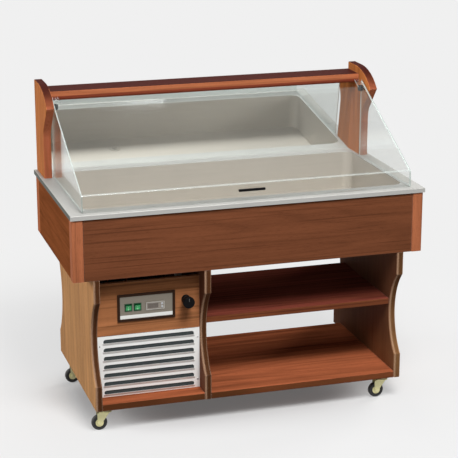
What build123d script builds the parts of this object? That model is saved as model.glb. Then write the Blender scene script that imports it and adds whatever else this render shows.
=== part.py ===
from build123d import *
import os
from math import atan2, cos, radians, sin, tan

os.makedirs("parts", exist_ok=True)

# Overall sizes in millimetres: X runs along the cart, the front faces -Y, the floor is Z = 0
deck_height = 885
slip = 0.1
play = 0.5

# Steel deck and cold well
deck_sheet = 1.5
deck_lip = 18
deck_bend = 3
deck_end_strip = 60
deck_side_strip = 80
well_length = 1300
well_width = 580
well_depth = 160
well_corner = 40
well_sheet = 1.5
well_flange = 12
well_edge_round = 1

# Insulated tub under the deck
coil_width = 10
coil_height = 8
coil_runs = 8
coil_margin = 100
coil_straight = 6
insulation_floor = 36
tub_sheet = 2

# Wooden apron round the tub
apron_drop = 260
apron_thickness = 20
apron_inset = 7
post_size = 44
post_inset = 5
post_round = 7
board_round = 2

# Wavy leg panels
panel_thickness = 28
panel_inset = 80
panel_front_inset = 7
panel_rear_inset = 40
panel_round = 5
scoop_depth = 68
scoop_rise = 100
scoop_drop = 92

# Floor boards and shelf
base_thickness = 27
shelf_rise = 290
shelf_thickness = 26
shelf_depth = 500
front_setback = 80
shelf_round = 3

# Uprights, canopy and leaning mirror
upright_inset = 14
upright_thickness = 32
upright_foot = 160
upright_height = 375
upright_round = 2.5
crown_flat = 80
crown_shoulder = 175
crown_shoulder_drop = 18
beak_reach = 93
beak_height = 302
neck_height = 160
throat_reach = 20
throat_height = 215
canopy_depth = 120
canopy_drop = 30
canopy_thickness = 38
canopy_round = 12
back_thickness = 16
mirror_thickness = 5
mirror_tilt = 5

# Clear hood on two pivots
hood_sheet_thickness = 5
hood_side_gap = 4
hood_setback = 29
hood_lip = 66
hood_rise = 3
hood_over_pivot = 33.5
hood_past_pivot = 22
hood_bend_round = 4
hood_tab = 31
hood_notch = 51
wing_trim = 4
pivot_ahead = 27
pivot_below_beak = 5.5
pivot_radius = 4
pivot_depth = 20
knob_radius = 12.5
knob_length = 16
knob_round = 3
handle_length = 107
handle_height = 10
handle_depth = 8
handle_standoff = 7
handle_foot = 12
handle_rise = 44
handle_round = 2.5

# Fascia and control unit
fascia_thickness = 18
fascia_height = 211
fascia_drop = 40
fascia_gap = 2
bezel_width = 229
bezel_height = 110
bezel_border = 10
bezel_depth = 6
bezel_round = 1.5
plate_lap = 4
plate_thickness = 2
control_margin = 80.5
control_drop = 104
fascia_window_width = 190
fascia_window_height = 66
switch_width = 30
switch_height = 31
switch_flange = 2
switch_wall = 3
switch_body_depth = 25
switch_pocket = 16
switch_shift = 71
switch_pitch = 36
switch_rise = 0.5
rocker_swing = 8
rocker_pin = 1.5
rocker_proud = 3
rocker_gap = 2.5
thermostat_width = 74
thermostat_height = 32
thermostat_flange = 3
thermostat_lip = 1.5
thermostat_body_depth = 50
thermostat_offset = 35
display_width = 44
display_height = 20
display_depth = 1
display_offset = -9
key_size = 7
key_offset = 27
key_spacing = 12
key_depth = 6
key_proud = 1.5
key_travel = 1
key_round = 0.5

# Louvred grille, rear vent panel and the battens that take their screws
grille_sheet = 2
grille_end_margin = 23
grille_edge_margin = 20
grille_slot_height = 14
grille_slot_pitch = 35
grille_slot_round = 9
louvre_fall = 10
louvre_reach = 5
screw_head = 3.2
screw_head_depth = 1.6
screw_shank = 1.6
screw_length = 8
screw_margin = 8
screw_rise = 34
screw_drop = 39
batten_size = 16
vent_sheet = 1.5
vent_drop = 75.5
vent_clear = 49
vent_slots = 8
vent_slot_margin = 54
vent_slot_height = 8
vent_slot_pitch = 26
vent_slot_rise = 60
gland_radius = 11
gland_length = 22
gland_bore = 5
gland_neck = 8
gland_round = 3.5
gland_drop = 60
gland_from_left = 140

# Drain pipe with its valve and knob
drain_gap = 43.5
drain_from_right = 55
drain_outer = 14
drain_bore = 10
drain_collar = 22
drain_collar_height = 3
knob_drop = 91
valve_radius = 24
valve_length = 60
valve_socket = 18
valve_socket_height = 40
valve_tail_drop = 20
ball_radius = 9.5
ball_hole = 6
spindle_radius = 4
drain_knob_reach = 54
drain_knob_length = 34
drain_knob_front = 23
drain_knob_rear = 19
drain_knob_round = 3
floor_hole_gap = 1

# Condensing unit
tray_sheet = 2
tray_rim = 14
tray_margin = 12
tray_drain_gap = 17
tray_rear_gap = 23
unit_clear = 8
condenser_end_gap = 13
condenser_depth = 50
condenser_fins = 22
fin_gap = 4
fin_cut = 12
fan_radius = 108
fan_hub = 22
fan_blade_count = 5
fan_blade_chord = 58
fan_blade_sheet = 2
fan_blade_round = 14
fan_pitch = 25
fan_depth = 26
shroud_sheet = 3
shroud_ring = 3
shroud_ring_depth = 30
shroud_gap = 8
shroud_margin = 6
fan_clear = 10
motor_radius = 35
motor_length = 60
motor_shaft = 4
motor_arm_width = 12
motor_arm_sheet = 3
motor_clear = 70
compressor_radius = 78
compressor_height = 185
compressor_round = 40
compressor_foot = 10
compressor_foot_radius = 9
compressor_foot_width = 138
compressor_foot_depth = 120
compressor_plate = 3
terminal_depth = 20
terminal_size = 78
stub_radius = 8
stub_height = 12
stub_offset = 45
line_radius = 5
line_bend = 25
line_gap = 1
line_clear = 70
drier_radius = 11
drier_length = 90

# Swivel casters
caster_from_end = 133
caster_from_front = 53
caster_from_rear = 40
caster_plate_size = 50
caster_plate_sheet = 3
caster_head_radius = 17
caster_head_height = 16
kingpin_radius = 4
kingpin_head = 8
kingpin_head_height = 3
fork_sheet = 3
fork_crown_radius = 20
fork_leg_width = 18
wheel_radius = 31
wheel_width = 20
wheel_trail = 30
wheel_gap = 10.5
wheel_edge = 6
hub_radius = 20
hub_recess = 2
axle_radius = 4
axle_head = 7
axle_head_height = 2

# Levels and places that follow from the sizes above
cart_length = well_length + 2 * deck_end_strip
cart_depth = well_width + 2 * deck_side_strip
caster_stack = caster_plate_sheet + caster_head_height + play + fork_sheet
caster_height = 2 * wheel_radius + wheel_gap + caster_stack
machine_width = control_margin + bezel_width + drain_gap + drain_from_right
half_length = cart_length / 2
front = -cart_depth / 2
rear = cart_depth / 2
deck_under = deck_height - deck_sheet
apron_bottom = deck_height - apron_drop
well_floor = deck_height - well_depth
coil_top = well_floor - well_sheet
coil_bottom = coil_top - coil_height
tub_top = coil_bottom - insulation_floor
leg_top = tub_top - tub_sheet
apron_inner_x = half_length - apron_inset - apron_thickness
apron_inner_front = front + apron_inset + apron_thickness
apron_inner_rear = rear - apron_inset - apron_thickness
post_inner_x = half_length - post_inset - post_size
post_inner_y = front + post_inset + post_size
panel_front = front + panel_front_inset
panel_rear = rear - panel_rear_inset
machine_left = -half_length + panel_inset + panel_thickness
machine_right = machine_left + machine_width
bay_left = machine_right + panel_thickness
bay_right = half_length - panel_inset - panel_thickness
base_top = caster_height + base_thickness
shelf_top = base_top + shelf_rise
setback_face = front + front_setback
upright_inner = half_length - upright_inset - upright_thickness
upright_front = rear - upright_foot
canopy_bottom = deck_height + upright_height - canopy_drop - canopy_thickness
back_face = rear - back_thickness
lean = tan(radians(mirror_tilt))
mirror_front = back_face - mirror_thickness / cos(radians(mirror_tilt))
hood_end = upright_inner - hood_side_gap
pivot_y = upright_front - pivot_ahead
pivot_z = deck_height + beak_height - pivot_below_beak
fascia_top = apron_bottom - fascia_drop
fascia_bottom = fascia_top - fascia_height
grille_top = fascia_bottom - fascia_gap
grille_height = grille_top - base_top
control_x = machine_left + control_margin + bezel_width / 2
control_z = fascia_top - control_drop
plate_front = setback_face - plate_thickness
thermostat_x = control_x + thermostat_offset
drain_x = machine_right - drain_from_right
drain_z = fascia_top - knob_drop
tray_left = machine_left + tray_margin
tray_width = drain_x - valve_radius - tray_drain_gap - tray_left
tray_front = plate_front + thermostat_body_depth + unit_clear
tray_top = base_top + tray_sheet
ring_inner = fan_radius + shroud_gap
condenser_x = tray_left + tray_width / 2
condenser_width = tray_width - 2 * tray_sheet - 2 * condenser_end_gap
condenser_height = 2 * (ring_inner + shroud_ring + shroud_margin)
condenser_rear = tray_front + tray_sheet + condenser_depth
condenser_y = condenser_rear - condenser_depth / 2
fan_z = tray_top + condenser_height / 2
fan_front = condenser_rear + shroud_sheet + fan_clear
motor_front = fan_front + fan_depth + fan_clear
compressor_x = condenser_x
compressor_y = motor_front + motor_length + motor_clear + terminal_depth + compressor_radius
tray_depth = compressor_y + compressor_radius + tray_rear_gap - tray_front
base_rear = tray_front + tray_depth + vent_clear
coil_left = coil_margin - well_length / 2
coil_span = -2 * condenser_y
coil_pitch = coil_span / (coil_runs - 1)
drain_y = (coil_pitch - coil_span) / 2
compressor_base = tray_top + compressor_foot
compressor_top = compressor_base + compressor_plate + compressor_height
caster_places = [
    ("front_left", -half_length + caster_from_end, panel_front + caster_from_front),
    ("front_right", half_length - caster_from_end, panel_front + caster_from_front),
    ("rear_left", -half_length + caster_from_end, base_rear - caster_from_rear),
    ("rear_right", half_length - caster_from_end, base_rear - caster_from_rear),
]
switch_places = (control_x - switch_shift, control_x - switch_shift + switch_pitch)


def keep(piece, name):
    """Label a finished piece and write it to its own file."""
    piece.part.label = name
    export_step(piece.part, f"parts/{name}.step")


def board(name, low, high, round_edges=0.0, axis=Axis.X):
    """A plain board between two corners, its long edges eased."""
    size = [high[i] - low[i] for i in range(3)]
    middle = tuple((high[i] + low[i]) / 2 for i in range(3))
    with BuildPart() as piece:
        with Locations(middle):
            Box(*size)
        if round_edges:
            fillet(piece.edges().filter_by(axis), radius=round_edges)
    keep(piece, name)


# Steel deck: a folded top with turned-down edges and the well's opening
with BuildPart() as deck:
    with BuildSketch(Plane.XY.offset(deck_height)):
        Rectangle(cart_length, cart_depth)
    extrude(amount=-deck_lip)
    fillet(deck.edges().group_by(Axis.Z)[-1], radius=deck_bend)
    with BuildSketch(Plane.XY.offset(deck_under)):
        Rectangle(cart_length - 2 * deck_sheet, cart_depth - 2 * deck_sheet)
    extrude(amount=-deck_lip, mode=Mode.SUBTRACT)
    with BuildSketch(Plane.XY.offset(deck_height)):
        RectangleRounded(well_length, well_width, well_corner)
    extrude(amount=-deck_sheet, mode=Mode.SUBTRACT)
    rim = deck.faces().filter_by(Axis.Z).sort_by(Axis.Z)[-1].inner_wires()[0].edges()
    fillet(rim, radius=well_edge_round)
keep(deck, "deck")

# Cold well: a welded tank hung from its flange, with the drain hole in its floor
with BuildPart() as well:
    with BuildSketch(Plane.XY.offset(deck_under)):
        RectangleRounded(
            well_length + 2 * well_flange, well_width + 2 * well_flange, well_corner + well_flange
        )
    extrude(amount=-well_sheet)
    with BuildSketch(Plane.XY.offset(deck_under)):
        RectangleRounded(
            well_length + 2 * well_sheet, well_width + 2 * well_sheet, well_corner + well_sheet
        )
    extrude(amount=coil_top - deck_under)
    with BuildSketch(Plane.XY.offset(deck_under)):
        RectangleRounded(well_length, well_width, well_corner)
    extrude(amount=well_floor - deck_under, mode=Mode.SUBTRACT)
    with BuildSketch(Plane.XY.offset(well_floor)):
        with Locations((drain_x, drain_y)):
            Circle(drain_bore)
    extrude(amount=-well_sheet, mode=Mode.SUBTRACT)
keep(well, "well")

# Evaporator: one flattened tube that winds under the well floor
coil_points = []
for run in range(coil_runs):
    run_y = run * coil_pitch - coil_span / 2
    ends = [(coil_left, run_y), (-coil_left, run_y)]
    coil_points += ends if run % 2 == 0 else ends[::-1]
with BuildPart() as evaporator:
    with BuildSketch(Plane.XY.offset(coil_bottom)):
        with BuildLine():
            FilletPolyline(*coil_points, radius=(coil_pitch - coil_straight) / 2)
        trace(line_width=coil_width)
    extrude(amount=coil_height)
keep(evaporator, "evaporator")

# Places where the pipes pass through the tub
liquid_place = (coil_left + coil_width, -coil_span / 2)
suction_place = (coil_left + coil_width, coil_span / 2)
drain_place = (drain_x, drain_y)


def tub_holes(top, height):
    """Cut the pipe holes through one layer of the tub."""
    with BuildSketch(Plane.XY.offset(top)) as holes:
        with Locations(liquid_place, suction_place):
            Circle(line_radius + line_gap)
        with Locations(drain_place):
            Circle(drain_collar + line_gap)
    extrude(holes.sketch, amount=-height, mode=Mode.SUBTRACT)


# Insulation: a foam tub between the well and the apron
with BuildPart() as insulation:
    foam_top = deck_under - well_sheet
    with BuildSketch(Plane.XY.offset(foam_top)):
        Rectangle(2 * apron_inner_x, apron_inner_rear - apron_inner_front)
        with Locations((post_inner_x, front), (-post_inner_x, front)):
            Rectangle(
                2 * (half_length - post_inner_x), 2 * (post_inner_y - front), mode=Mode.SUBTRACT
            )
    extrude(amount=tub_top - foam_top)
    with BuildSketch(Plane.XY.offset(foam_top)):
        RectangleRounded(
            well_length + 2 * well_sheet, well_width + 2 * well_sheet, well_corner + well_sheet
        )
    extrude(amount=coil_bottom - foam_top, mode=Mode.SUBTRACT)
    tub_holes(coil_bottom, insulation_floor)
keep(insulation, "insulation")

# Tub bottom sheet carried by the leg panels
with BuildPart() as tub_bottom:
    with BuildSketch(Plane.XY.offset(tub_top)):
        Rectangle(2 * apron_inner_x, apron_inner_rear - apron_inner_front)
        with Locations((post_inner_x, front), (-post_inner_x, front)):
            Rectangle(
                2 * (half_length - post_inner_x), 2 * (post_inner_y - front), mode=Mode.SUBTRACT
            )
    extrude(amount=-tub_sheet)
    tub_holes(tub_top, tub_sheet)
keep(tub_bottom, "tub_bottom")

# Apron boards and the two front corner posts
board(
    "apron_front",
    (-post_inner_x, front + apron_inset, apron_bottom),
    (post_inner_x, apron_inner_front, deck_under),
    board_round,
)
board(
    "apron_back",
    (-apron_inner_x, apron_inner_rear, apron_bottom),
    (apron_inner_x, rear - apron_inset, deck_under),
    board_round,
)
board(
    "apron_left",
    (-half_length + apron_inset, post_inner_y, apron_bottom),
    (-apron_inner_x, rear - apron_inset, deck_under),
    board_round,
    Axis.Y,
)
board(
    "apron_right",
    (apron_inner_x, post_inner_y, apron_bottom),
    (half_length - apron_inset, rear - apron_inset, deck_under),
    board_round,
    Axis.Y,
)
for side, name in ((-1, "post_left"), (1, "post_right")):
    with BuildPart() as post:
        with Locations((side * (post_inner_x + post_size / 2), post_inner_y - post_size / 2, 0)):
            with Locations((0, 0, (apron_bottom + deck_under) / 2)):
                Box(post_size, post_size, deck_under - apron_bottom)
        outer_edge = post.edges().filter_by(Axis.Z).group_by(Axis.Y)[0]
        fillet(outer_edge, radius=post_round)
    keep(post, name)


def leg_panel(name, left_face):
    """A wavy leg panel: scooped front and rear edges, notched round the apron board."""
    low = caster_height + scoop_rise
    high = apron_bottom - scoop_drop
    with BuildPart() as panel:
        with BuildSketch(Plane.YZ.offset(left_face)):
            with BuildLine():
                Polyline((panel_rear, low), (panel_rear, caster_height), (panel_front, caster_height),
                         (panel_front, low))
                SagittaArc((panel_front, low), (panel_front, high), -scoop_depth)
                Polyline((panel_front, high), (panel_front, apron_bottom),
                         (apron_inner_front, apron_bottom), (apron_inner_front, leg_top),
                         (panel_rear, leg_top), (panel_rear, high))
                SagittaArc((panel_rear, high), (panel_rear, low), -scoop_depth)
            make_face()
        extrude(amount=panel_thickness)
        sides = panel.faces().filter_by(Axis.X)
        wavy = sides.edges().filter_by(lambda edge: edge.center().Z < apron_bottom)
        fillet(wavy, radius=panel_round)
    keep(panel, name)


leg_panel("left_leg_panel", machine_left - panel_thickness)
leg_panel("middle_partition", machine_right)
leg_panel("right_leg_panel", bay_right)

# Floor boards, the left one holed for the drain, and the shelf
with BuildPart() as machine_floor:
    with Locations(((machine_left + machine_right) / 2, (panel_front + base_rear) / 2,
                    caster_height + base_thickness / 2)):
        Box(machine_width, base_rear - panel_front, base_thickness)
    fillet(machine_floor.edges().filter_by(Axis.X), radius=shelf_round)
    with BuildSketch(Plane.XY.offset(base_top)):
        with Locations(drain_place):
            Circle(drain_outer + floor_hole_gap)
    extrude(amount=-base_thickness, mode=Mode.SUBTRACT)
keep(machine_floor, "machine_floor")
board(
    "bay_floor",
    (bay_left, panel_front, caster_height),
    (bay_right, base_rear, base_top),
    shelf_round,
)
board(
    "mid_shelf",
    (bay_left, setback_face, shelf_top - shelf_thickness),
    (bay_right, setback_face + shelf_depth, shelf_top),
    shelf_round,
)


def upright(name, outer_side):
    """A shaped side post with a beak at its top; the pivot's bore is on its inner face."""
    left_face = upright_inner if outer_side > 0 else -upright_inner - upright_thickness
    tip = (upright_front - beak_reach, deck_height + beak_height)
    throat = (upright_front - throat_reach, deck_height + throat_height)
    neck = (upright_front, deck_height + neck_height)
    top = deck_height + upright_height
    shoulder = (rear - crown_shoulder, top - crown_shoulder_drop)
    with BuildPart() as post:
        with BuildSketch(Plane.YZ.offset(left_face)):
            with BuildLine():
                Polyline(neck, (upright_front, deck_height), (rear, deck_height), (rear, top),
                         (rear - crown_flat, top))
                crown = TangentArc((rear - crown_flat, top), shoulder, tangent=(-1, 0))
                TangentArc(shoulder, tip, tangent=crown % 1)
                Line(tip, throat)
                TangentArc(neck, throat, tangent=(0, 1))
            make_face()
        extrude(amount=upright_thickness)
        sides = post.faces().filter_by(Axis.X)
        above_foot = sides.edges().filter_by(lambda edge: edge.center().Z > deck_height + upright_round)
        shaped = above_foot.filter_by(lambda edge: edge.center().Y < rear - upright_round)
        fillet(shaped, radius=upright_round)
        with BuildSketch(Plane.YZ.offset(outer_side * upright_inner)):
            with Locations((pivot_y, pivot_z)):
                Circle(pivot_radius)
        extrude(amount=outer_side * pivot_depth, mode=Mode.SUBTRACT)
    keep(post, name)


upright("upright_left", -1)
upright("upright_right", 1)

# Canopy board, back panel and the mirror that leans forward between them
with BuildPart() as canopy:
    with Locations((0, rear - canopy_depth / 2, canopy_bottom + canopy_thickness / 2)):
        Box(2 * upright_inner, canopy_depth, canopy_thickness)
    front_edges = canopy.edges().filter_by(Axis.X).group_by(Axis.Y)[0].sort_by(Axis.Z)
    fillet(front_edges[0], radius=canopy_round)
    fillet(canopy.edges().filter_by(Axis.X).group_by(Axis.Y)[0].sort_by(Axis.Z)[-1], radius=upright_round)
keep(canopy, "canopy")
board(
    "back_panel",
    (-upright_inner, back_face, deck_height),
    (upright_inner, rear, canopy_bottom),
)
mirror_rise = canopy_bottom - deck_height
with BuildPart() as mirror_glass:
    with BuildSketch(Plane.YZ.offset(-upright_inner)):
        with BuildLine():
            Polyline(
                (back_face, deck_height),
                (mirror_front, deck_height),
                (mirror_front - mirror_rise * lean, canopy_bottom),
                (back_face - mirror_rise * lean, canopy_bottom),
                close=True,
            )
        make_face()
    extrude(amount=2 * upright_inner)
keep(mirror_glass, "mirror")

# Clear hood: a bent sheet with a vertical lip, a long slope and two top tabs, and two end wings
lip_outer = front + hood_setback
lip_inner = lip_outer + hood_sheet_thickness
lip_low = deck_height + hood_rise
bend_z = deck_height + hood_lip
hood_top = (pivot_y + hood_past_pivot, pivot_z + hood_over_pivot)
slope = atan2(hood_top[1] - bend_z, hood_top[0] - lip_outer)
sheet_fall = hood_sheet_thickness / cos(slope)


def under_slope(y):
    """Height of the sloping sheet's under face at a depth y."""
    return bend_z + (y - lip_outer) * tan(slope) - sheet_fall


hood_top_under = (
    hood_top[0] + hood_sheet_thickness * sin(slope),
    hood_top[1] - hood_sheet_thickness * cos(slope),
)
notch_run = hood_notch * cos(slope)
notch_fall = hood_notch * sin(slope)
with BuildPart() as hood_sheet:
    with BuildSketch(Plane.YZ.offset(-hood_end)):
        with BuildLine():
            Polyline(
                (lip_outer, lip_low),
                (lip_outer, bend_z),
                hood_top,
                hood_top_under,
                (lip_inner, under_slope(lip_inner)),
                (lip_inner, lip_low),
                close=True,
            )
        make_face()
    extrude(amount=2 * hood_end)
    bend_edge = hood_sheet.edges().filter_by(Axis.X).group_by(Axis.Y)[0].sort_by(Axis.Z)[-1]
    fillet(bend_edge, radius=hood_bend_round)
    with BuildSketch(Plane.YZ.offset(hood_tab - hood_end)):
        with BuildLine():
            Polyline(
                hood_top,
                hood_top_under,
                (hood_top_under[0] - notch_run, hood_top_under[1] - notch_fall),
                (hood_top[0] - notch_run, hood_top[1] - notch_fall),
                close=True,
            )
        make_face()
    extrude(amount=2 * (hood_end - hood_tab), mode=Mode.SUBTRACT)
keep(hood_sheet, "hood_sheet")
wing_rear = hood_top[0] - wing_trim
for side, name in ((-1, "hood_wing_left"), (1, "hood_wing_right")):
    with BuildPart() as wing:
        with BuildSketch(Plane.YZ.offset(side * hood_end)):
            with BuildLine():
                Polyline(
                    (lip_inner, lip_low),
                    (lip_inner, under_slope(lip_inner)),
                    (wing_rear, under_slope(wing_rear)),
                    (wing_rear, lip_low),
                    close=True,
                )
            make_face()
            with Locations((pivot_y, pivot_z)):
                Circle(pivot_radius + slip, mode=Mode.SUBTRACT)
        extrude(amount=-side * hood_sheet_thickness)
    keep(wing, name)

# Handle bar on the hood's lip
with BuildPart() as hood_handle:
    bar_y = lip_outer - handle_standoff - handle_depth / 2
    with Locations((0, bar_y, deck_height + handle_rise)):
        Box(handle_length, handle_depth, handle_height)
    fillet(hood_handle.edges(), radius=handle_round)
    foot_x = (handle_length - handle_foot) / 2 - handle_round
    foot_depth = handle_standoff + handle_depth / 2
    with Locations((foot_x, lip_outer - foot_depth / 2, deck_height + handle_rise),
                   (-foot_x, lip_outer - foot_depth / 2, deck_height + handle_rise)):
        Box(handle_foot, foot_depth, handle_height - 2 * handle_round)
keep(hood_handle, "hood_handle")

# Two pivot knobs: a shank through the wing, a spacing collar and a round head
with BuildPart() as hinge_knobs:
    for side in (-1, 1):
        wing_inner = hood_end - hood_sheet_thickness
        head_start = wing_inner - play
        with BuildSketch(Plane.YZ.offset(side * (upright_inner + pivot_depth))):
            with Locations((pivot_y, pivot_z)):
                Circle(pivot_radius)
        extrude(amount=-side * (upright_inner + pivot_depth - head_start))
        with BuildSketch(Plane.YZ.offset(side * upright_inner)):
            with Locations((pivot_y, pivot_z)):
                Circle(2 * pivot_radius)
        extrude(amount=-side * (hood_side_gap - play))
        with BuildSketch(Plane.YZ.offset(side * head_start)):
            with Locations((pivot_y, pivot_z)):
                Circle(knob_radius)
        extrude(amount=-side * knob_length)
    heads = hinge_knobs.edges().filter_by(GeomType.CIRCLE).group_by(lambda edge: abs(edge.center().X))[0]
    fillet(heads, radius=knob_round)
keep(hinge_knobs, "hinge_knobs")

# Fascia board with the control window and the drain spindle's hole
with BuildPart() as fascia:
    with Locations(((machine_left + machine_right) / 2, setback_face + fascia_thickness / 2,
                    (fascia_bottom + fascia_top) / 2)):
        Box(machine_width, fascia_thickness, fascia_top - fascia_bottom)
    with BuildSketch(Plane.XZ.offset(-setback_face)):
        with Locations((control_x, control_z)):
            Rectangle(fascia_window_width, fascia_window_height)
        with Locations((drain_x, drain_z)):
            Circle(spindle_radius + line_gap)
    extrude(amount=-fascia_thickness, mode=Mode.SUBTRACT)
keep(fascia, "fascia")

# Control bezel: a frame rebated at its back for the metal plate
window_width = bezel_width - 2 * bezel_border
window_height = bezel_height - 2 * bezel_border
with BuildPart() as control_bezel:
    with BuildSketch(Plane.XZ.offset(-setback_face)):
        with Locations((control_x, control_z)):
            Rectangle(bezel_width, bezel_height)
            Rectangle(window_width, window_height, mode=Mode.SUBTRACT)
    extrude(amount=bezel_depth)
    fillet(control_bezel.edges().group_by(Axis.Y)[0], radius=bezel_round)
    with BuildSketch(Plane.XZ.offset(-setback_face)):
        with Locations((control_x, control_z)):
            Rectangle(window_width + 2 * plate_lap, window_height + 2 * plate_lap)
    extrude(amount=plate_thickness, mode=Mode.SUBTRACT)
keep(control_bezel, "control_bezel")

# Metal control plate with openings for the two switches and the thermostat
with BuildPart() as control_plate:
    with BuildSketch(Plane.XZ.offset(-setback_face)):
        with Locations((control_x, control_z)):
            Rectangle(window_width + 2 * plate_lap, window_height + 2 * plate_lap)
        with Locations(*[(place, control_z + switch_rise) for place in switch_places]):
            Rectangle(switch_width - 2 * switch_flange, switch_height - 2 * switch_flange,
                      mode=Mode.SUBTRACT)
        with Locations((thermostat_x, control_z)):
            Rectangle(thermostat_width - 2 * thermostat_lip, thermostat_height - 2 * thermostat_lip,
                      mode=Mode.SUBTRACT)
    extrude(amount=plate_thickness)
keep(control_plate, "control_plate")

# Two switch bodies: flanged boxes with a pocket for the rocker
pocket_width = switch_width - 2 * switch_wall
pocket_height = switch_height - 2 * switch_wall
switch_face = plate_front - switch_flange
rocker_y = switch_face + switch_pocket / 2
with BuildPart() as switch_bodies:
    for switch_x in switch_places:
        with BuildSketch(Plane.XZ.offset(-plate_front)):
            with Locations((switch_x, control_z + switch_rise)):
                Rectangle(switch_width, switch_height)
        extrude(amount=switch_flange)
        with BuildSketch(Plane.XZ.offset(-plate_front)):
            with Locations((switch_x, control_z + switch_rise)):
                Rectangle(switch_width - 2 * switch_flange, switch_height - 2 * switch_flange)
        extrude(amount=-switch_body_depth)
        with BuildSketch(Plane.XZ.offset(-switch_face)):
            with Locations((switch_x, control_z + switch_rise)):
                Rectangle(pocket_width, pocket_height)
        extrude(amount=-switch_pocket, mode=Mode.SUBTRACT)
        with BuildSketch(Plane.YZ.offset(switch_x)):
            with Locations((rocker_y, control_z + switch_rise)):
                Circle(rocker_pin + slip)
        extrude(amount=pocket_width / 2 + switch_flange / 2, both=True, mode=Mode.SUBTRACT)
keep(switch_bodies, "switch_bodies")

# Rockers tipped to their on side, each on a pin through the pocket's walls
tip = radians(rocker_swing)
rocker_half = pocket_height / 2 - rocker_gap
rocker_back = switch_pocket / 2 - play - rocker_half * sin(tip)
rocker_face = switch_pocket / 2 + rocker_proud
for name, rocker_x in zip(("rocker_left", "rocker_right"), switch_places):
    tipped = Plane(
        origin=(rocker_x, rocker_y, control_z + switch_rise),
        x_dir=(0, cos(tip), sin(tip)),
        z_dir=(1, 0, 0),
    )
    with BuildPart() as rocker:
        with BuildSketch(tipped):
            with BuildLine():
                Polyline(
                    (-rocker_face, -rocker_half),
                    (-rocker_face + rocker_proud / 2, 0),
                    (-rocker_face, rocker_half),
                    (0, rocker_half),
                    (rocker_back, 0),
                    (0, -rocker_half),
                    close=True,
                )
            make_face()
        extrude(amount=pocket_width / 2 - play, both=True)
        with BuildSketch(tipped):
            Circle(rocker_pin)
        extrude(amount=pocket_width / 2 + switch_flange / 2 - slip, both=True)
    keep(rocker, name)

# Thermostat: flanged case with a sunk display and two key holes
key_places = [
    ("key_up", thermostat_x + key_offset, control_z + key_spacing / 2),
    ("key_down", thermostat_x + key_offset, control_z - key_spacing / 2),
]
thermostat_face = plate_front - thermostat_flange
with BuildPart() as thermostat:
    with BuildSketch(Plane.XZ.offset(-plate_front)):
        with Locations((thermostat_x, control_z)):
            Rectangle(thermostat_width, thermostat_height)
    extrude(amount=thermostat_flange)
    fillet(thermostat.edges().filter_by(Axis.Y), radius=bezel_round)
    with BuildSketch(Plane.XZ.offset(-plate_front)):
        with Locations((thermostat_x, control_z)):
            Rectangle(thermostat_width - 2 * thermostat_lip, thermostat_height - 2 * thermostat_lip)
    extrude(amount=-thermostat_body_depth)
    with BuildSketch(Plane.XZ.offset(-thermostat_face)):
        with Locations((thermostat_x + display_offset, control_z)):
            Rectangle(display_width, display_height)
    extrude(amount=-display_depth, mode=Mode.SUBTRACT)
    with BuildSketch(Plane.XZ.offset(-thermostat_face)):
        with Locations(*[(key_x, key_z) for _, key_x, key_z in key_places]):
            Rectangle(key_size + 2 * slip, key_size + 2 * slip)
    extrude(amount=-(key_depth + key_travel + play), mode=Mode.SUBTRACT)
keep(thermostat, "thermostat")
for name, key_x, key_z in key_places:
    with BuildPart() as key:
        with BuildSketch(Plane.XZ.offset(-(thermostat_face - key_proud))):
            with Locations((key_x, key_z)):
                Rectangle(key_size, key_size)
        extrude(amount=-(key_depth + key_proud))
        fillet(key.edges().group_by(Axis.Y)[0], radius=key_round)
    keep(key, name)

# Grille: a sheet with pressed louvres that open upwards, their slots rounded at the top corners
grille_x = (machine_left + machine_right) / 2
grille_z = base_top + grille_height / 2
grille_back = setback_face + grille_sheet
grille_slots = 1 + int((grille_height - 2 * grille_edge_margin) / grille_slot_pitch)
grille_slot_length = machine_width - 2 * grille_end_margin
slot_left = machine_left + grille_end_margin
lowest_slot = grille_z - (grille_slot_pitch * (grille_slots - 1) + grille_slot_height) / 2
slot_sills = [lowest_slot + row * grille_slot_pitch for row in range(grille_slots)]
screw_x = (machine_left + screw_margin, machine_right - screw_margin)
screw_z = (base_top + screw_rise, grille_top - screw_drop)
with BuildSketch() as louvre_slot:
    Rectangle(grille_slot_length, grille_slot_height, align=(Align.CENTER, Align.MIN))
    fillet(louvre_slot.vertices().group_by(Axis.Y)[-1], radius=grille_slot_round)
with BuildPart() as grille:
    with BuildSketch(Plane.XZ.offset(-setback_face)):
        with Locations((grille_x, grille_z)):
            Rectangle(machine_width, grille_height)
        with Locations(*[(grille_x, sill) for sill in slot_sills]):
            add(louvre_slot.sketch, mode=Mode.SUBTRACT)
        with Locations(*[(x, z) for x in screw_x for z in screw_z]):
            Circle(screw_shank, mode=Mode.SUBTRACT)
    extrude(amount=-grille_sheet)
    for sill in slot_sills:
        with BuildSketch(Plane.YZ.offset(slot_left - grille_sheet)):
            with BuildLine():
                Polyline(
                    (setback_face, sill - louvre_fall),
                    (setback_face - louvre_reach, sill),
                    (setback_face, sill),
                    close=True,
                )
            make_face()
        extrude(amount=grille_slot_length + 2 * grille_sheet)
        with BuildSketch(Plane.YZ.offset(slot_left)):
            with BuildLine():
                Polyline(
                    (grille_back, sill - louvre_fall),
                    (grille_back - louvre_reach, sill),
                    (grille_back, sill),
                    close=True,
                )
            make_face()
        extrude(amount=grille_slot_length, mode=Mode.SUBTRACT)
keep(grille, "grille")

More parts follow.
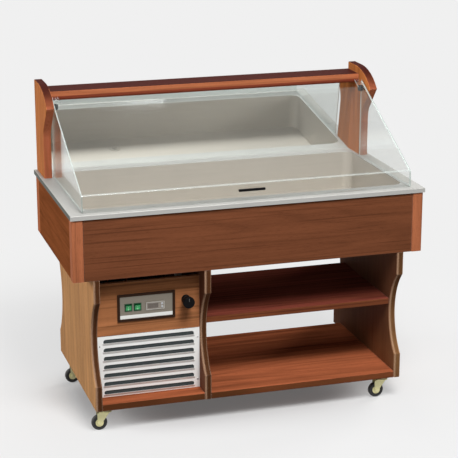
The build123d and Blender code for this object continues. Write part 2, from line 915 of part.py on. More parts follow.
# Rear vent panel with its slots and the cable gland's hole
vent_top = leg_top - vent_drop
vent_height = vent_top - base_top
vent_slot_length = machine_width - 2 * vent_slot_margin
vent_screw_z = (base_top + screw_margin, vent_top - screw_margin)
gland_place = (machine_left + gland_from_left, vent_top - gland_drop)
vent_front = base_rear - vent_sheet
with BuildPart() as rear_vent_panel:
    with BuildSketch(Plane.XZ.offset(-vent_front)):
        with Locations(((machine_left + machine_right) / 2, (base_top + vent_top) / 2)):
            Rectangle(machine_width, vent_height)
        with Locations(((machine_left + machine_right) / 2,
                        base_top + vent_slot_rise + vent_slot_pitch * (vent_slots - 1) / 2)):
            with GridLocations(0, vent_slot_pitch, 1, vent_slots):
                SlotOverall(vent_slot_length, vent_slot_height, mode=Mode.SUBTRACT)
        with Locations(gland_place):
            Circle(gland_neck, mode=Mode.SUBTRACT)
        with Locations(*[(x, z) for x in screw_x for z in vent_screw_z]):
            Circle(screw_shank, mode=Mode.SUBTRACT)
    extrude(amount=-vent_sheet)
keep(rear_vent_panel, "rear_vent_panel")

# Four battens along the machine bay's corners; the screws of both panels bite into them
with BuildPart() as panel_battens:
    for batten_y, batten_height in (
        (setback_face + grille_sheet + batten_size / 2, grille_height),
        (vent_front - batten_size / 2, vent_height),
    ):
        with Locations(
            (machine_left + batten_size / 2, batten_y, base_top + batten_height / 2),
            (machine_right - batten_size / 2, batten_y, base_top + batten_height / 2),
        ):
            Box(batten_size, batten_size, batten_height)
    for face, length, levels in (
        (setback_face, -screw_length, screw_z),
        (base_rear, screw_length, vent_screw_z),
    ):
        with BuildSketch(Plane.XZ.offset(-face)):
            with Locations(*[(x, z) for x in screw_x for z in levels]):
                Circle(screw_shank)
        extrude(amount=length, mode=Mode.SUBTRACT)
keep(panel_battens, "panel_battens")

# Cable gland: a neck through the panel, a flange and a domed nut with a bore
with BuildPart() as cable_gland:
    with BuildSketch(Plane.XZ.offset(-base_rear)):
        with Locations(gland_place):
            Circle(gland_radius)
    extrude(amount=-gland_length)
    fillet(cable_gland.edges().group_by(Axis.Y)[-1], radius=gland_round)
    with BuildSketch(Plane.XZ.offset(-base_rear)):
        with Locations(gland_place):
            Circle(gland_neck)
    extrude(amount=vent_sheet + gland_neck)
    with BuildSketch(Plane.XZ.offset(-(vent_front - gland_neck))):
        with Locations(gland_place):
            Circle(gland_bore)
    extrude(amount=-(gland_length + gland_neck + vent_sheet), mode=Mode.SUBTRACT)
keep(cable_gland, "cable_gland")

# Round-headed screws of the grille and the vent panel, one group
with BuildPart() as panel_screws:
    for outward, face, levels in (
        (-1, setback_face, screw_z),
        (1, base_rear, vent_screw_z),
    ):
        with BuildSketch(Plane.XZ.offset(-face)):
            with Locations(*[(x, z) for x in screw_x for z in levels]):
                Circle(screw_head)
        extrude(amount=-outward * screw_head_depth)
        with BuildSketch(Plane.XZ.offset(-face)):
            with Locations(*[(x, z) for x in screw_x for z in levels]):
                Circle(screw_shank)
        extrude(amount=outward * screw_length)
    crowns = panel_screws.edges().filter_by(GeomType.CIRCLE)
    fillet(crowns.group_by(Axis.Y)[0] + crowns.group_by(Axis.Y)[-1], radius=screw_head_depth / 2)
keep(panel_screws, "panel_screws")

# Drain pipe from the well floor to the valve
valve_top = drain_z + valve_socket_height
valve_bottom = drain_z - valve_socket_height
with BuildPart() as drain_pipe:
    with BuildSketch(Plane.XY.offset(coil_top)):
        with Locations(drain_place):
            Circle(drain_collar)
    extrude(amount=-drain_collar_height)
    with BuildSketch(Plane.XY.offset(coil_top)):
        with Locations(drain_place):
            Circle(drain_outer)
    extrude(amount=valve_top - coil_top)
    with BuildSketch(Plane.XY.offset(coil_top)):
        with Locations(drain_place):
            Circle(drain_bore)
    extrude(amount=valve_top - coil_top, mode=Mode.SUBTRACT)
keep(drain_pipe, "drain_pipe")

# Drain valve: a cross body with a socket above and a tail that passes the floor board
valve_front = drain_y - valve_length / 2
tail_low = caster_height - valve_tail_drop
with BuildPart() as drain_valve:
    with BuildSketch(Plane.XZ.offset(-valve_front)):
        with Locations((drain_x, drain_z)):
            Circle(valve_radius)
    extrude(amount=-valve_length)
    with BuildSketch(Plane.XY.offset(valve_bottom)):
        with Locations(drain_place):
            Circle(valve_socket)
    extrude(amount=valve_top - valve_bottom)
    with BuildSketch(Plane.XY.offset(tail_low)):
        with Locations(drain_place):
            Circle(drain_outer)
    extrude(amount=drain_z - tail_low)
    with BuildSketch(Plane.XY.offset(tail_low)):
        with Locations(drain_place):
            Circle(drain_bore)
    extrude(amount=valve_top - tail_low, mode=Mode.SUBTRACT)
    with BuildSketch(Plane.XZ.offset(-valve_front)):
        with Locations((drain_x, drain_z)):
            Circle(spindle_radius + slip)
    extrude(amount=-valve_length / 2, mode=Mode.SUBTRACT)
keep(drain_valve, "drain_valve")

# Drain knob on its spindle, which ends in the valve's bored ball, shut at rest
knob_face = setback_face - drain_knob_reach
with BuildPart() as drain_knob:
    with BuildSketch(Plane.XZ.offset(-knob_face)):
        with Locations((drain_x, drain_z)):
            Circle(drain_knob_front)
    with BuildSketch(Plane.XZ.offset(-(knob_face + drain_knob_length))):
        with Locations((drain_x, drain_z)):
            Circle(drain_knob_rear)
    loft()
    fillet(drain_knob.edges().group_by(Axis.Y)[0], radius=drain_knob_round)
    with BuildSketch(Plane.XZ.offset(-(knob_face + drain_knob_length))):
        with Locations((drain_x, drain_z)):
            Circle(spindle_radius)
    extrude(amount=-(drain_y - knob_face - drain_knob_length))
    with Locations((drain_x, drain_y, drain_z)):
        Sphere(ball_radius, rotation=(0, 90, 0))
    with BuildSketch(Plane.YZ.offset(drain_x)):
        with Locations((drain_y, drain_z)):
            Circle(ball_hole)
    extrude(amount=ball_radius, both=True, mode=Mode.SUBTRACT)
keep(drain_knob, "drain_knob")

# Tray of the condensing unit
with BuildPart() as unit_tray:
    with Locations((condenser_x, tray_front + tray_depth / 2, base_top + tray_rim / 2)):
        Box(tray_width, tray_depth, tray_rim)
    with Locations((condenser_x, tray_front + tray_depth / 2, tray_top + tray_rim / 2)):
        Box(tray_width - 2 * tray_sheet, tray_depth - 2 * tray_sheet, tray_rim, mode=Mode.SUBTRACT)
keep(unit_tray, "unit_tray")

# Condenser: a finned block
with BuildPart() as condenser:
    with Locations((condenser_x, condenser_y, fan_z)):
        Box(condenser_width, condenser_depth, condenser_height)
    with Locations((condenser_x, condenser_rear - condenser_depth, fan_z)):
        with GridLocations(condenser_width / (condenser_fins + 1), 0, condenser_fins, 1):
            Box(fin_gap, 2 * fin_cut, condenser_height, mode=Mode.SUBTRACT)
keep(condenser, "condenser")

# Fan shroud: a plate on the condenser with a ring round the fan
with BuildPart() as fan_shroud:
    with BuildSketch(Plane.XZ.offset(-condenser_rear)):
        with Locations((condenser_x, fan_z)):
            Rectangle(condenser_width, condenser_height)
            Circle(ring_inner, mode=Mode.SUBTRACT)
    extrude(amount=-shroud_sheet)
    with BuildSketch(Plane.XZ.offset(-condenser_rear)):
        with Locations((condenser_x, fan_z)):
            Circle(ring_inner + shroud_ring)
            Circle(ring_inner, mode=Mode.SUBTRACT)
    extrude(amount=-shroud_ring_depth)
keep(fan_shroud, "fan_shroud")

# Fan motor: a round case, its shaft and two arms that reach back to the shroud
arm_start = ring_inner + shroud_ring + play
arm_reach = arm_start + motor_arm_sheet
shroud_back = condenser_rear + shroud_sheet
with BuildPart() as fan_motor:
    with BuildSketch(Plane.XZ.offset(-motor_front)):
        with Locations((condenser_x, fan_z)):
            Circle(motor_radius)
    extrude(amount=-motor_length)
    fillet(fan_motor.edges().group_by(Axis.Y)[-1], radius=motor_shaft)
    with BuildSketch(Plane.XZ.offset(-motor_front)):
        with Locations((condenser_x, fan_z)):
            Circle(motor_shaft)
    extrude(amount=motor_front - fan_front)
    with BuildSketch(Plane.XZ.offset(-motor_front)):
        with Locations((condenser_x, fan_z)):
            Rectangle(2 * arm_reach, motor_arm_width)
    extrude(amount=-motor_arm_sheet)
    with BuildSketch(Plane.XZ.offset(-shroud_back)):
        with Locations((condenser_x - arm_reach + motor_arm_sheet / 2, fan_z),
                       (condenser_x + arm_reach - motor_arm_sheet / 2, fan_z)):
            Rectangle(motor_arm_sheet, motor_arm_width)
    extrude(amount=-(motor_front - shroud_back))
keep(fan_motor, "fan_motor")

# Fan: a hub on the motor shaft and pitched blades
fan_middle = fan_front + fan_depth / 2
blade_length = fan_radius - fan_hub / 2
with BuildPart() as fan_blades:
    with BuildSketch(Plane.XZ.offset(-fan_front)):
        with Locations((condenser_x, fan_z)):
            Circle(fan_hub)
    extrude(amount=-fan_depth)
    for blade in range(fan_blade_count):
        turn = radians(360 / fan_blade_count * blade)
        radial = Vector(cos(turn), 0, sin(turn))
        along = Vector(-sin(turn), 0, cos(turn))
        across = along * cos(radians(fan_pitch)) + Vector(0, 1, 0) * sin(radians(fan_pitch))
        blade_plane = Plane(
            origin=Vector(condenser_x, fan_middle, fan_z) + radial * (fan_hub / 2),
            x_dir=radial,
            z_dir=radial.cross(across),
        )
        with BuildSketch(blade_plane):
            with Locations((blade_length / 2, 0)):
                RectangleRounded(blade_length, fan_blade_chord, fan_blade_round)
        extrude(amount=fan_blade_sheet / 2, both=True)
    with BuildSketch(Plane.XZ.offset(-fan_front)):
        with Locations((condenser_x, fan_z)):
            Circle(motor_shaft + slip)
    extrude(amount=-fan_depth, mode=Mode.SUBTRACT)
keep(fan_blades, "fan_blades")

# Compressor: a domed pot on a footed plate, with two pipe stubs and a terminal cover
discharge_place = (compressor_x - stub_offset, compressor_y)
return_place = (compressor_x + stub_offset, compressor_y)
with BuildPart() as compressor:
    with BuildSketch(Plane.XY.offset(compressor_base + compressor_plate)):
        with Locations((compressor_x, compressor_y)):
            Circle(compressor_radius)
    extrude(amount=compressor_height)
    fillet(compressor.edges().group_by(Axis.Z)[-1], radius=compressor_round)
    with BuildSketch(Plane.XY.offset(compressor_base)):
        with Locations((compressor_x, compressor_y)):
            RectangleRounded(compressor_foot_width + 2 * compressor_foot_radius,
                             compressor_foot_depth + 2 * compressor_foot_radius, compressor_foot_radius)
    extrude(amount=compressor_plate)
    with BuildSketch(Plane.XY.offset(tray_top)):
        with Locations((compressor_x, compressor_y)):
            with GridLocations(compressor_foot_width, compressor_foot_depth, 2, 2):
                Circle(compressor_foot_radius)
    extrude(amount=compressor_foot)
    with Locations((compressor_x, compressor_y - compressor_radius, compressor_base + compressor_height / 2)):
        Box(terminal_size, 2 * terminal_depth, terminal_size)
    stub_top = compressor_top + stub_height
    with BuildSketch(Plane.XY.offset(stub_top)):
        with Locations(discharge_place, return_place):
            Circle(stub_radius)
    extrude(amount=-(stub_height + compressor_round))
keep(compressor, "compressor")


def tube(path):
    """A pipe along straight runs with rounded bends."""
    with BuildLine() as route:
        FilletPolyline(*path, radius=line_bend)
    with BuildSketch(Plane(origin=route.wire() @ 0, z_dir=route.wire() % 0)) as section:
        Circle(line_radius)
    sweep(section.sketch, path=route.wire())


# Refrigerant lines: discharge to the condenser, liquid up through the drier, suction back down
condenser_top = fan_z + condenser_height / 2
line_level = condenser_top + line_clear
inlet_x = condenser_x + condenser_width / 2 - fin_cut
with BuildPart() as refrigerant_lines:
    tube([
        (*discharge_place, stub_top),
        (*discharge_place, line_level),
        (discharge_place[0], condenser_y, line_level),
        (inlet_x, condenser_y, line_level),
        (inlet_x, condenser_y, condenser_top),
    ])
    for radius, low, high in (
        (line_radius, condenser_top, coil_bottom),
        (drier_radius, line_level - drier_length / 2, line_level + drier_length / 2),
    ):
        with BuildSketch(Plane.XY.offset(low)):
            with Locations(liquid_place):
                Circle(radius)
        extrude(amount=high - low)
    tube([
        (*return_place, stub_top),
        (*return_place, line_level + line_clear),
        (return_place[0], suction_place[1], line_level + line_clear),
        (*suction_place, line_level + line_clear),
        (*suction_place, coil_bottom),
    ])
keep(refrigerant_lines, "refrigerant_lines")

# Caster plates: four plates with a bearing head and a riveted kingpin
head_low = caster_height - caster_plate_sheet - caster_head_height
crown_top = head_low - play
crown_low = crown_top - fork_sheet
with BuildPart() as caster_plates:
    for _, caster_x, caster_y in caster_places:
        with BuildSketch(Plane.XY.offset(caster_height)):
            with Locations((caster_x, caster_y)):
                RectangleRounded(caster_plate_size, caster_plate_size, caster_plate_sheet)
        extrude(amount=-caster_plate_sheet)
        with BuildSketch(Plane.XY.offset(caster_height)):
            with Locations((caster_x, caster_y)):
                Circle(caster_head_radius)
        extrude(amount=head_low - caster_height)
        with BuildSketch(Plane.XY.offset(head_low)):
            with Locations((caster_x, caster_y)):
                Circle(kingpin_radius)
        extrude(amount=crown_low - play - head_low)
        with BuildSketch(Plane.XY.offset(crown_low - play)):
            with Locations((caster_x, caster_y)):
                Circle(kingpin_head)
        extrude(amount=-kingpin_head_height)
keep(caster_plates, "caster_plates")

# Forks and wheels; every fork trails towards -X
leg_inner = wheel_width / 2 + play
leg_outer = leg_inner + fork_sheet
for place, caster_x, caster_y in caster_places:
    axle_x = caster_x - wheel_trail
    with BuildPart() as fork:
        with BuildSketch(Plane.XY.offset(crown_low)):
            with Locations((caster_x, caster_y)):
                Circle(fork_crown_radius)
            with Locations(((caster_x + axle_x) / 2, caster_y)):
                Rectangle(wheel_trail, 2 * leg_outer)
        extrude(amount=fork_sheet)
        for side in (-1, 1):
            with BuildSketch(Plane.XZ.offset(-(caster_y + side * leg_inner))):
                with BuildLine():
                    Polyline(
                        (caster_x + fork_leg_width / 2, crown_low),
                        (axle_x - fork_leg_width / 2, crown_low),
                        (axle_x - fork_leg_width / 2, wheel_radius),
                        (axle_x + fork_leg_width / 2, wheel_radius),
                        close=True,
                    )
                make_face()
                with Locations((axle_x, wheel_radius)):
                    Circle(fork_leg_width / 2)
            extrude(amount=-side * fork_sheet)
            with BuildSketch(Plane.XZ.offset(-(caster_y + side * leg_outer))):
                with Locations((axle_x, wheel_radius)):
                    Circle(axle_head)
            extrude(amount=-side * axle_head_height)
        with BuildSketch(Plane.XZ.offset(-caster_y)):
            with Locations((axle_x, wheel_radius)):
                Circle(axle_radius)
        extrude(amount=leg_outer, both=True)
        with BuildSketch(Plane.XY.offset(crown_low)):
            with Locations((caster_x, caster_y)):
                Circle(kingpin_radius + slip)
        extrude(amount=fork_sheet, mode=Mode.SUBTRACT)
    keep(fork, f"caster_fork_{place}")
    with BuildPart() as wheel:
        with BuildSketch(Plane.XZ.offset(-caster_y)):
            with Locations((axle_x, wheel_radius)):
                Circle(wheel_radius)
        extrude(amount=wheel_width / 2, both=True)
        fillet(wheel.edges().filter_by(GeomType.CIRCLE), radius=wheel_edge)
        for side in (-1, 1):
            with BuildSketch(Plane.XZ.offset(-(caster_y + side * wheel_width / 2))):
                with Locations((axle_x, wheel_radius)):
                    Circle(hub_radius)
                    Circle(axle_head, mode=Mode.SUBTRACT)
            extrude(amount=side * hub_recess, mode=Mode.SUBTRACT)
        with BuildSketch(Plane.XZ.offset(-caster_y)):
            with Locations((axle_x, wheel_radius)):
                Circle(axle_radius + slip)
        extrude(amount=wheel_width / 2, both=True, mode=Mode.SUBTRACT)
    keep(wheel, f"caster_wheel_{place}")
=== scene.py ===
import math
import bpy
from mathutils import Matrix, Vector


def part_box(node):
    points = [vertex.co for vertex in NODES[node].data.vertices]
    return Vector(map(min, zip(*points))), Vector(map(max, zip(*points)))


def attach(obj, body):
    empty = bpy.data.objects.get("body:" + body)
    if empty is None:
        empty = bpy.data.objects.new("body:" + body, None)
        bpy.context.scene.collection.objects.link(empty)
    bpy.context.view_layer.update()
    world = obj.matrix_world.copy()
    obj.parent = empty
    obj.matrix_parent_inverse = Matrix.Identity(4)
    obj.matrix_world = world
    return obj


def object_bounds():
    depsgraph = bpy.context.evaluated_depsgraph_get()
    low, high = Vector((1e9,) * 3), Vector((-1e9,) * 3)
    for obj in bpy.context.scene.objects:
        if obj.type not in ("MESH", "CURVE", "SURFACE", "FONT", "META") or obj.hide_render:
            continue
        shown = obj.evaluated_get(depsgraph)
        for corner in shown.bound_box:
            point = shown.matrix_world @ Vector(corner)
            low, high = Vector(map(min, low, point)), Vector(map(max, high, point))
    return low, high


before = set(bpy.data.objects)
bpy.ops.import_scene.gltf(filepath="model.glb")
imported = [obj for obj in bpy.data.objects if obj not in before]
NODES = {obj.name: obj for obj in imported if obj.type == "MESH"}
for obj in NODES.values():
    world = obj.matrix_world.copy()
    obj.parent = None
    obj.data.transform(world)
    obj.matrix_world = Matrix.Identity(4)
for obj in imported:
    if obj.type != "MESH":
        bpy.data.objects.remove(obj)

from types import SimpleNamespace

import bmesh
import bpy
from bpy.props import FloatProperty, FloatVectorProperty, IntProperty, PointerProperty
from mathutils import Matrix, Vector

bl_info = {
    "name": "Cold buffet cart",
    "version": (1, 0, 0),
    "blender": (4, 5, 0),
    "location": "3D View > Sidebar > Cart",
    "description": "Finishes and small fittings of a refrigerated buffet cart with a lift-up hood",
    "category": "Object",
}

CAD_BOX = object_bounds()
CASTERS = ("front_left", "front_right", "rear_left", "rear_right")
ROCKERS = ("rocker_left", "rocker_right")
ALONG_X, ALONG_Y, ALONG_Z = 0, 1, 2
UPWARD = (0.0, 0.0, 1.0)
FRONTWARD = (0.0, -1.0, 0.0)
# The way that the cut top edge of the leaning hood sheet looks.
HOOD_TOP = (0.0, 0.9003, 0.4352)
FACING_FRONT = Matrix(((1, 0, 0, 0), (0, 0, -1, 0), (0, 1, 0, 0), (0, 0, 0, 1)))
# Each lamp's name, where it stands, where it aims, the side of its square in metres and its watts.
LAMPS = (
    ("key_softbox", (0.2, -3.1, 4.8), (0.0, 0.0, 0.6), 1.6, 210.0),
    ("front_softbox", (-0.5, -3.4, 4.4), (0.0, 0.0, 0.6), 2.0, 90.0),
    ("left_softbox", (-4.8, 0.2, 2.2), (0.0, 0.0, 0.7), 1.8, 130.0),
    ("right_softbox", (4.4, 2.4, 2.2), (0.0, 0.0, 0.7), 1.8, 130.0),
    ("rear_softbox", (0.4, 3.2, 5.4), (0.0, 0.4, 0.8), 1.6, 60.0),
)
ROOM_LIGHT = 0.09


def tone(red, green, blue):
    """A colour as it looks on a screen, each part from 0 to 255, in Blender's own linear numbers."""
    parts = [part / 255 for part in (red, green, blue)]
    return tuple(part / 12.92 if part <= 0.04045 else ((part + 0.055) / 1.055) ** 2.4 for part in parts)


def shade(colour, factor):
    """The same colour, lighter or darker."""
    return tuple(min(1.0, part * factor) for part in colour)


def lifted(colour, factor, lift):
    """The same colour, lighter or darker, and greyed by an even lift."""
    return tuple(factor * part + lift for part in colour)


def colour_field(name, description, red, green, blue):
    """A colour that a user may change, given as it looks on a screen."""
    return FloatVectorProperty(
        name=name, description=description, default=tone(red, green, blue), size=3, min=0.0, max=1.0,
        subtype="COLOR",
    )


def size_field(name, description, default):
    """A length that a user may change."""
    return FloatProperty(name=name, description=description, default=default, min=0.0, unit="LENGTH")


def count_field(name, description, default, least):
    """A number of like features that a user may change."""
    return IntProperty(name=name, description=description, default=default, min=least)


def angle_field(name, description, degrees):
    """An angle that a user may change."""
    return FloatProperty(name=name, description=description, default=math.radians(degrees), subtype="ANGLE")


class CartColours(bpy.types.PropertyGroup):
    """Colours of the cart's finishes."""

    apron: colour_field("Apron", "Veneer of the apron's front and back", 123, 73, 48)
    # Painted light: the ends are the apron's veneer made lighter, as if lit from the side.
    apron_end: colour_field("Apron end", "Veneer of the apron's two ends", 140, 80, 46)
    post: colour_field("Corner post", "Solid wood of the two front posts", 181, 109, 74)
    leg: colour_field("Leg panel", "Outer faces of the leg panels", 202, 149, 97)
    # Painted shade: the bay sides are the leg veneer made darker for the shade inside the bays.
    inner: colour_field("Bay side", "Faces of the leg panels that look into the bays", 116, 72, 52)
    edge: colour_field("Leg edge", "Shaped front and rear edges of the leg panels", 84, 51, 30)
    # Painted highlight: a pale line along one rounded corner of the leg edges.
    arris_highlight: colour_field("Leg arris", "Pale rounded corner along the leg edges", 206, 168, 138)
    shelf: colour_field("Shelf", "Floor boards of both bays", 176, 98, 64)
    shelf_edge: colour_field("Floor edge", "Front and rear edges of the floor boards", 100, 60, 35)
    # Partly painted shade: the middle shelf's top is the floor boards' wood made darker for the apron's shade
    # over it, partly its own tone.
    mid_shelf: colour_field("Middle shelf", "Middle shelf of the open bay", 126, 62, 50)
    mid_edge: colour_field("Middle edge", "Front and rear edges of the middle shelf", 128, 74, 46)
    upright: colour_field("Upright", "Flat faces of the uprights", 200, 123, 66)
    beak: colour_field("Upright edge", "Curved front of the uprights", 182, 102, 72)
    # A darker tone mixed in on the faces of the uprights and the canopy that look up.
    crown: colour_field("Crown", "Stain on top of the uprights and the canopy", 56, 16, 13)
    canopy: colour_field("Canopy", "Front of the canopy board", 194, 116, 78)
    # Painted shade: the canopy's lower front edge is painted darker for the shade under its foot.
    foot: colour_field("Canopy foot", "Lower edge of the canopy board", 112, 46, 34)
    fascia: colour_field("Fascia", "Board that carries the controls", 188, 123, 80)
    back: colour_field("Back", "Rear panel behind the mirror", 140, 88, 56)
    batten: colour_field("Batten", "Raw wood inside the machine bay", 186, 154, 112)
    steel: colour_field("Deck steel", "Brushed deck", 178, 177, 173)
    # Painted reflection: the deck's end lips are painted dark as if they mirrored a dark room.
    deck_end_dark_reflection: colour_field("Deck ends", "Turned-down lips at the deck's two ends", 74, 77, 70)
    tank: colour_field("Tank steel", "Inside of the well", 186, 179, 169)
    grille: colour_field("Grille", "Satin coat of the louvred grille", 246, 246, 243)
    plate: colour_field("Control plate", "Brushed plate behind the switches", 134, 126, 114)
    strip: colour_field("Plate strip", "Bare pale strip along the plate's foot", 240, 240, 236)
    bezel: colour_field("Bezel", "Frame round the control plate", 48, 30, 20)
    # Painted glow in the middle of the rockers.
    lens: colour_field("Rocker lens", "Bright middle of the rockers", 40, 172, 92)
    lens_rim: colour_field("Rocker rim", "Dark rim of the rockers", 8, 84, 44)
    switch: colour_field("Switch frame", "Frames round the rockers", 6, 62, 34)
    case: colour_field("Thermostat", "Face of the thermostat", 146, 138, 128)
    key: colour_field("Key", "Keys of the thermostat", 204, 208, 212)
    black: colour_field("Black plastic", "Knobs and handle", 7, 7, 8)
    brass: colour_field("Brass", "Plated caster forks and hubs", 246, 239, 184)
    tyre: colour_field("Tyre", "Caster tyres", 30, 30, 31)
    unit: colour_field("Cooling unit", "Black paint of the compressor and its fan", 30, 31, 33)
    copper: colour_field("Copper", "Evaporator and pipes", 196, 122, 84)
    drain: colour_field("Drain", "Drain pipe and valve", 206, 206, 200)
    foam: colour_field("Foam", "Insulation under the well", 226, 208, 160)
    acrylic: colour_field("Hood edge", "Cut edges of the clear hood", 226, 236, 232)
    ground: colour_field("Floor", "Pale floor and background", 240, 240, 240)


class CartSizes(bpy.types.PropertyGroup):
    """Sizes of the small fittings and of the view."""

    strainer_radius: size_field("Strainer radius", "Drain strainer in the well", 0.026)
    strainer_bars: count_field("Strainer bars", "Bars across the strainer", 7, 3)
    hub_radius: size_field("Hub radius", "Brass disc in a caster wheel", 0.0165)
    knob_flutes: count_field("Knob flutes", "Grip flutes round the drain knob", 14, 6)
    knob_grip: size_field("Knob grip", "Length of the fluted band on the drain knob", 0.022)
    rosette_radius: size_field("Rosette radius", "Rosette on the fascia behind the drain knob", 0.0178)
    rosette_rise: size_field("Rosette rise", "Height of that rosette", 0.009)
    frame_width: size_field("Thermostat rim", "Pale rim round the thermostat's face", 0.0016)
    rear_post: size_field("Rear post", "Width of the solid wood at the rear of the apron's ends", 0.055)
    # Height of the bend, where a painted highlight line runs along the hood sheet.
    foot_shade_height: size_field("Canopy foot", "Height of the dark lower edge of the canopy", 0.017)
    # Height of the painted shade band along the canopy's foot.
    crease_height: size_field("Hood crease", "Height of the hood sheet's bend above its foot", 0.063)
    bezel_border: size_field("Bezel border", "Width of the frame round the control plate", 0.010)
    strip_height: size_field("Strip height", "Pale strip along the control plate's foot", 0.0145)
    # Width of the painted highlight along the leg edges' corner.
    arris_width: size_field("Arris width", "Width of the pale corner along the leg edges", 0.013)
    edge_wear: size_field("Edge wear", "Width of the rubbed band along wood edges", 0.0022)
    lens_length: FloatProperty(name="Lens", description="Focal length in millimetres", default=124.9, min=1.0)
    eye: FloatVectorProperty(
        name="Eye", description="Where the camera stands", default=(-1.7965, -5.9212, 2.5005), unit="LENGTH"
    )
    eye_yaw: angle_field("Yaw", "Camera turn towards +X", 17.015)
    eye_pitch: angle_field("Pitch", "Camera tilt below the horizon", 16.454)


def tints(context):
    """The colours that a user may change, as plain numbers."""
    colours = context.scene.cart_colours
    return SimpleNamespace(**{name: tuple(getattr(colours, name)) for name in CartColours.__annotations__})


class Link:
    """One output of a node. Arithmetic on it adds Math nodes to the finish that it belongs to."""

    def __init__(self, finish, socket):
        self.finish = finish
        self.socket = socket

    def math(self, operation, *values):
        return self.finish.node("ShaderNodeMath", {"operation": operation}, dict(enumerate(values)))

    def __add__(self, other):
        return self.math("ADD", self, other)

    def __radd__(self, other):
        return self.math("ADD", other, self)

    def __sub__(self, other):
        return self.math("SUBTRACT", self, other)

    def __rsub__(self, other):
        return self.math("SUBTRACT", other, self)

    def __mul__(self, other):
        return self.math("MULTIPLY", self, other)

    def __rmul__(self, other):
        return self.math("MULTIPLY", other, self)

    def __pow__(self, other):
        return self.math("POWER", self, other)

    def __rpow__(self, other):
        return self.math("POWER", other, self)

    def __abs__(self):
        return self.math("ABSOLUTE", self)

    def sine(self):
        return self.math("SINE", self)

    def larger(self, other):
        return self.math("MAXIMUM", self, other)

    def ramp(self, low, high):
        """0 below low, 1 above high and a soft step between them."""
        return self.finish.node(
            "ShaderNodeMapRange",
            {"interpolation_type": "SMOOTHSTEP"},
            {"Value": self, "From Min": low, "From Max": high},
        )


class Finish:
    """A material, or a world, that is put together node by node."""

    def __init__(self, name, kind="materials"):
        self.made = getattr(bpy.data, kind).new(name)
        self.made.use_nodes = True
        self.tree = self.made.node_tree
        self.tree.nodes.clear()

    def node(self, kind, settings=None, sockets=None, output=0):
        """Add a node: its settings first, then the values or links of its sockets."""
        made = self.tree.nodes.new(kind)
        for name, value in (settings or {}).items():
            setattr(made, name, value)
        for name, value in (sockets or {}).items():
            self.feed(made.inputs[name], value)
        return Link(self, made.outputs[output]) if made.outputs else None

    def feed(self, socket, value):
        """Give a socket its link or its value; a colour gets its alpha."""
        if isinstance(value, Link):
            self.tree.links.new(value.socket, socket)
        elif socket.type == "RGBA" and len(value) == 3:
            socket.default_value = (*value, 1.0)
        else:
            socket.default_value = value

    def mix(self, factor, first, second):
        """Colour first where the factor is 0 and second where it is 1."""
        # A Mix node keeps its colours in sockets 6 and 7, and gives the mixed colour at output 2.
        return self.node("ShaderNodeMix", {"data_type": "RGBA"}, {0: factor, 6: first, 7: second}, output=2)

    def layers(self, base, *coats):
        """Lay tones over a base colour, each coat as its share and its tone."""
        for share, colour in coats:
            base = self.mix(share, base, colour)
        return base

    def mix_shaders(self, share, first, second):
        """Shader first where the share is 0 and second where it is 1."""
        return self.node("ShaderNodeMixShader", None, {0: share, 1: first, 2: second})

    def vector(self, operation, *values, output=0):
        """Maths on places and directions."""
        return self.node("ShaderNodeVectorMath", {"operation": operation}, dict(enumerate(values)), output)

    def place(self, kind="Object"):
        """A place on the piece in metres, or its Normal, or its Generated place from 0 to 1."""
        return self.node("ShaderNodeTexCoord", output=kind)

    def scaled(self, scale):
        return self.vector("MULTIPLY", self.place(), scale)

    def noise(self, vector, scale=1.0, detail=2.0, roughness=0.5, distortion=0.0):
        return self.node("ShaderNodeTexNoise", None, {
            "Vector": vector,
            "Scale": scale,
            "Detail": detail,
            "Roughness": roughness,
            "Distortion": distortion,
        })

    def grain(self, axis, across, along, **looks):
        """Noise drawn out along one axis, its two scales in cycles per metre."""
        scale = [across] * 3
        scale[axis] = along
        return self.noise(self.scaled(scale), **looks)

    def mottle(self, *looks):
        """Noise that is alike in every direction, by its scale, detail and roughness."""
        return self.noise(self.place(), *looks)

    def axis(self, vector, axis):
        return self.node("ShaderNodeSeparateXYZ", None, {0: vector}, output=axis)

    def dot(self, first, second):
        return self.vector("DOT_PRODUCT", first, second, output="Value")

    def length(self, vector):
        return self.vector("LENGTH", vector, output="Value")

    def rounded(self, radius):
        """The direction that the surface would face if its corners were rounded."""
        return self.node("ShaderNodeBevel", {"samples": 4}, {"Radius": radius})

    def edges(self, radius):
        """1 along the piece's corners, 0 on its flats."""
        flat = self.node("ShaderNodeNewGeometry", output="Normal")
        return (1.0 - self.dot(self.rounded(radius), flat)).ramp(0.01, 0.14)

    def ends(self):
        """1 on faces that look along X, 0 on the others."""
        return abs(self.axis(self.place("Normal"), ALONG_X)).ramp(0.6, 0.9)

    def bump(self, height, strength, distance):
        sockets = {"Strength": strength, "Distance": distance, "Height": height}
        return self.node("ShaderNodeBump", None, sockets)

    def shader(self, **sockets):
        """The Principled shader; an underscore in a socket's name stands for a blank."""
        named = {name.replace("_", " "): value for name, value in sockets.items()}
        return self.node("ShaderNodeBsdfPrincipled", None, named)

    def light_path(self, kind):
        return self.node("ShaderNodeLightPath", output=f"Is {kind} Ray")

    def looked_at(self):
        """1 for what is seen straight on, in a mirror or through a clear sheet, 0 for what only lights."""
        seen, mirrored, passed = [self.light_path(kind) for kind in ("Camera", "Glossy", "Transmission")]
        return seen.larger(mirrored).larger(passed)

    def done(self, surface, output="ShaderNodeOutputMaterial"):
        """Close the finish with its output."""
        self.node(output, None, {"Surface": surface})
        return self.made

    def coat(self, **sockets):
        """Close the finish with one Principled shader."""
        return self.done(self.shader(**sockets))


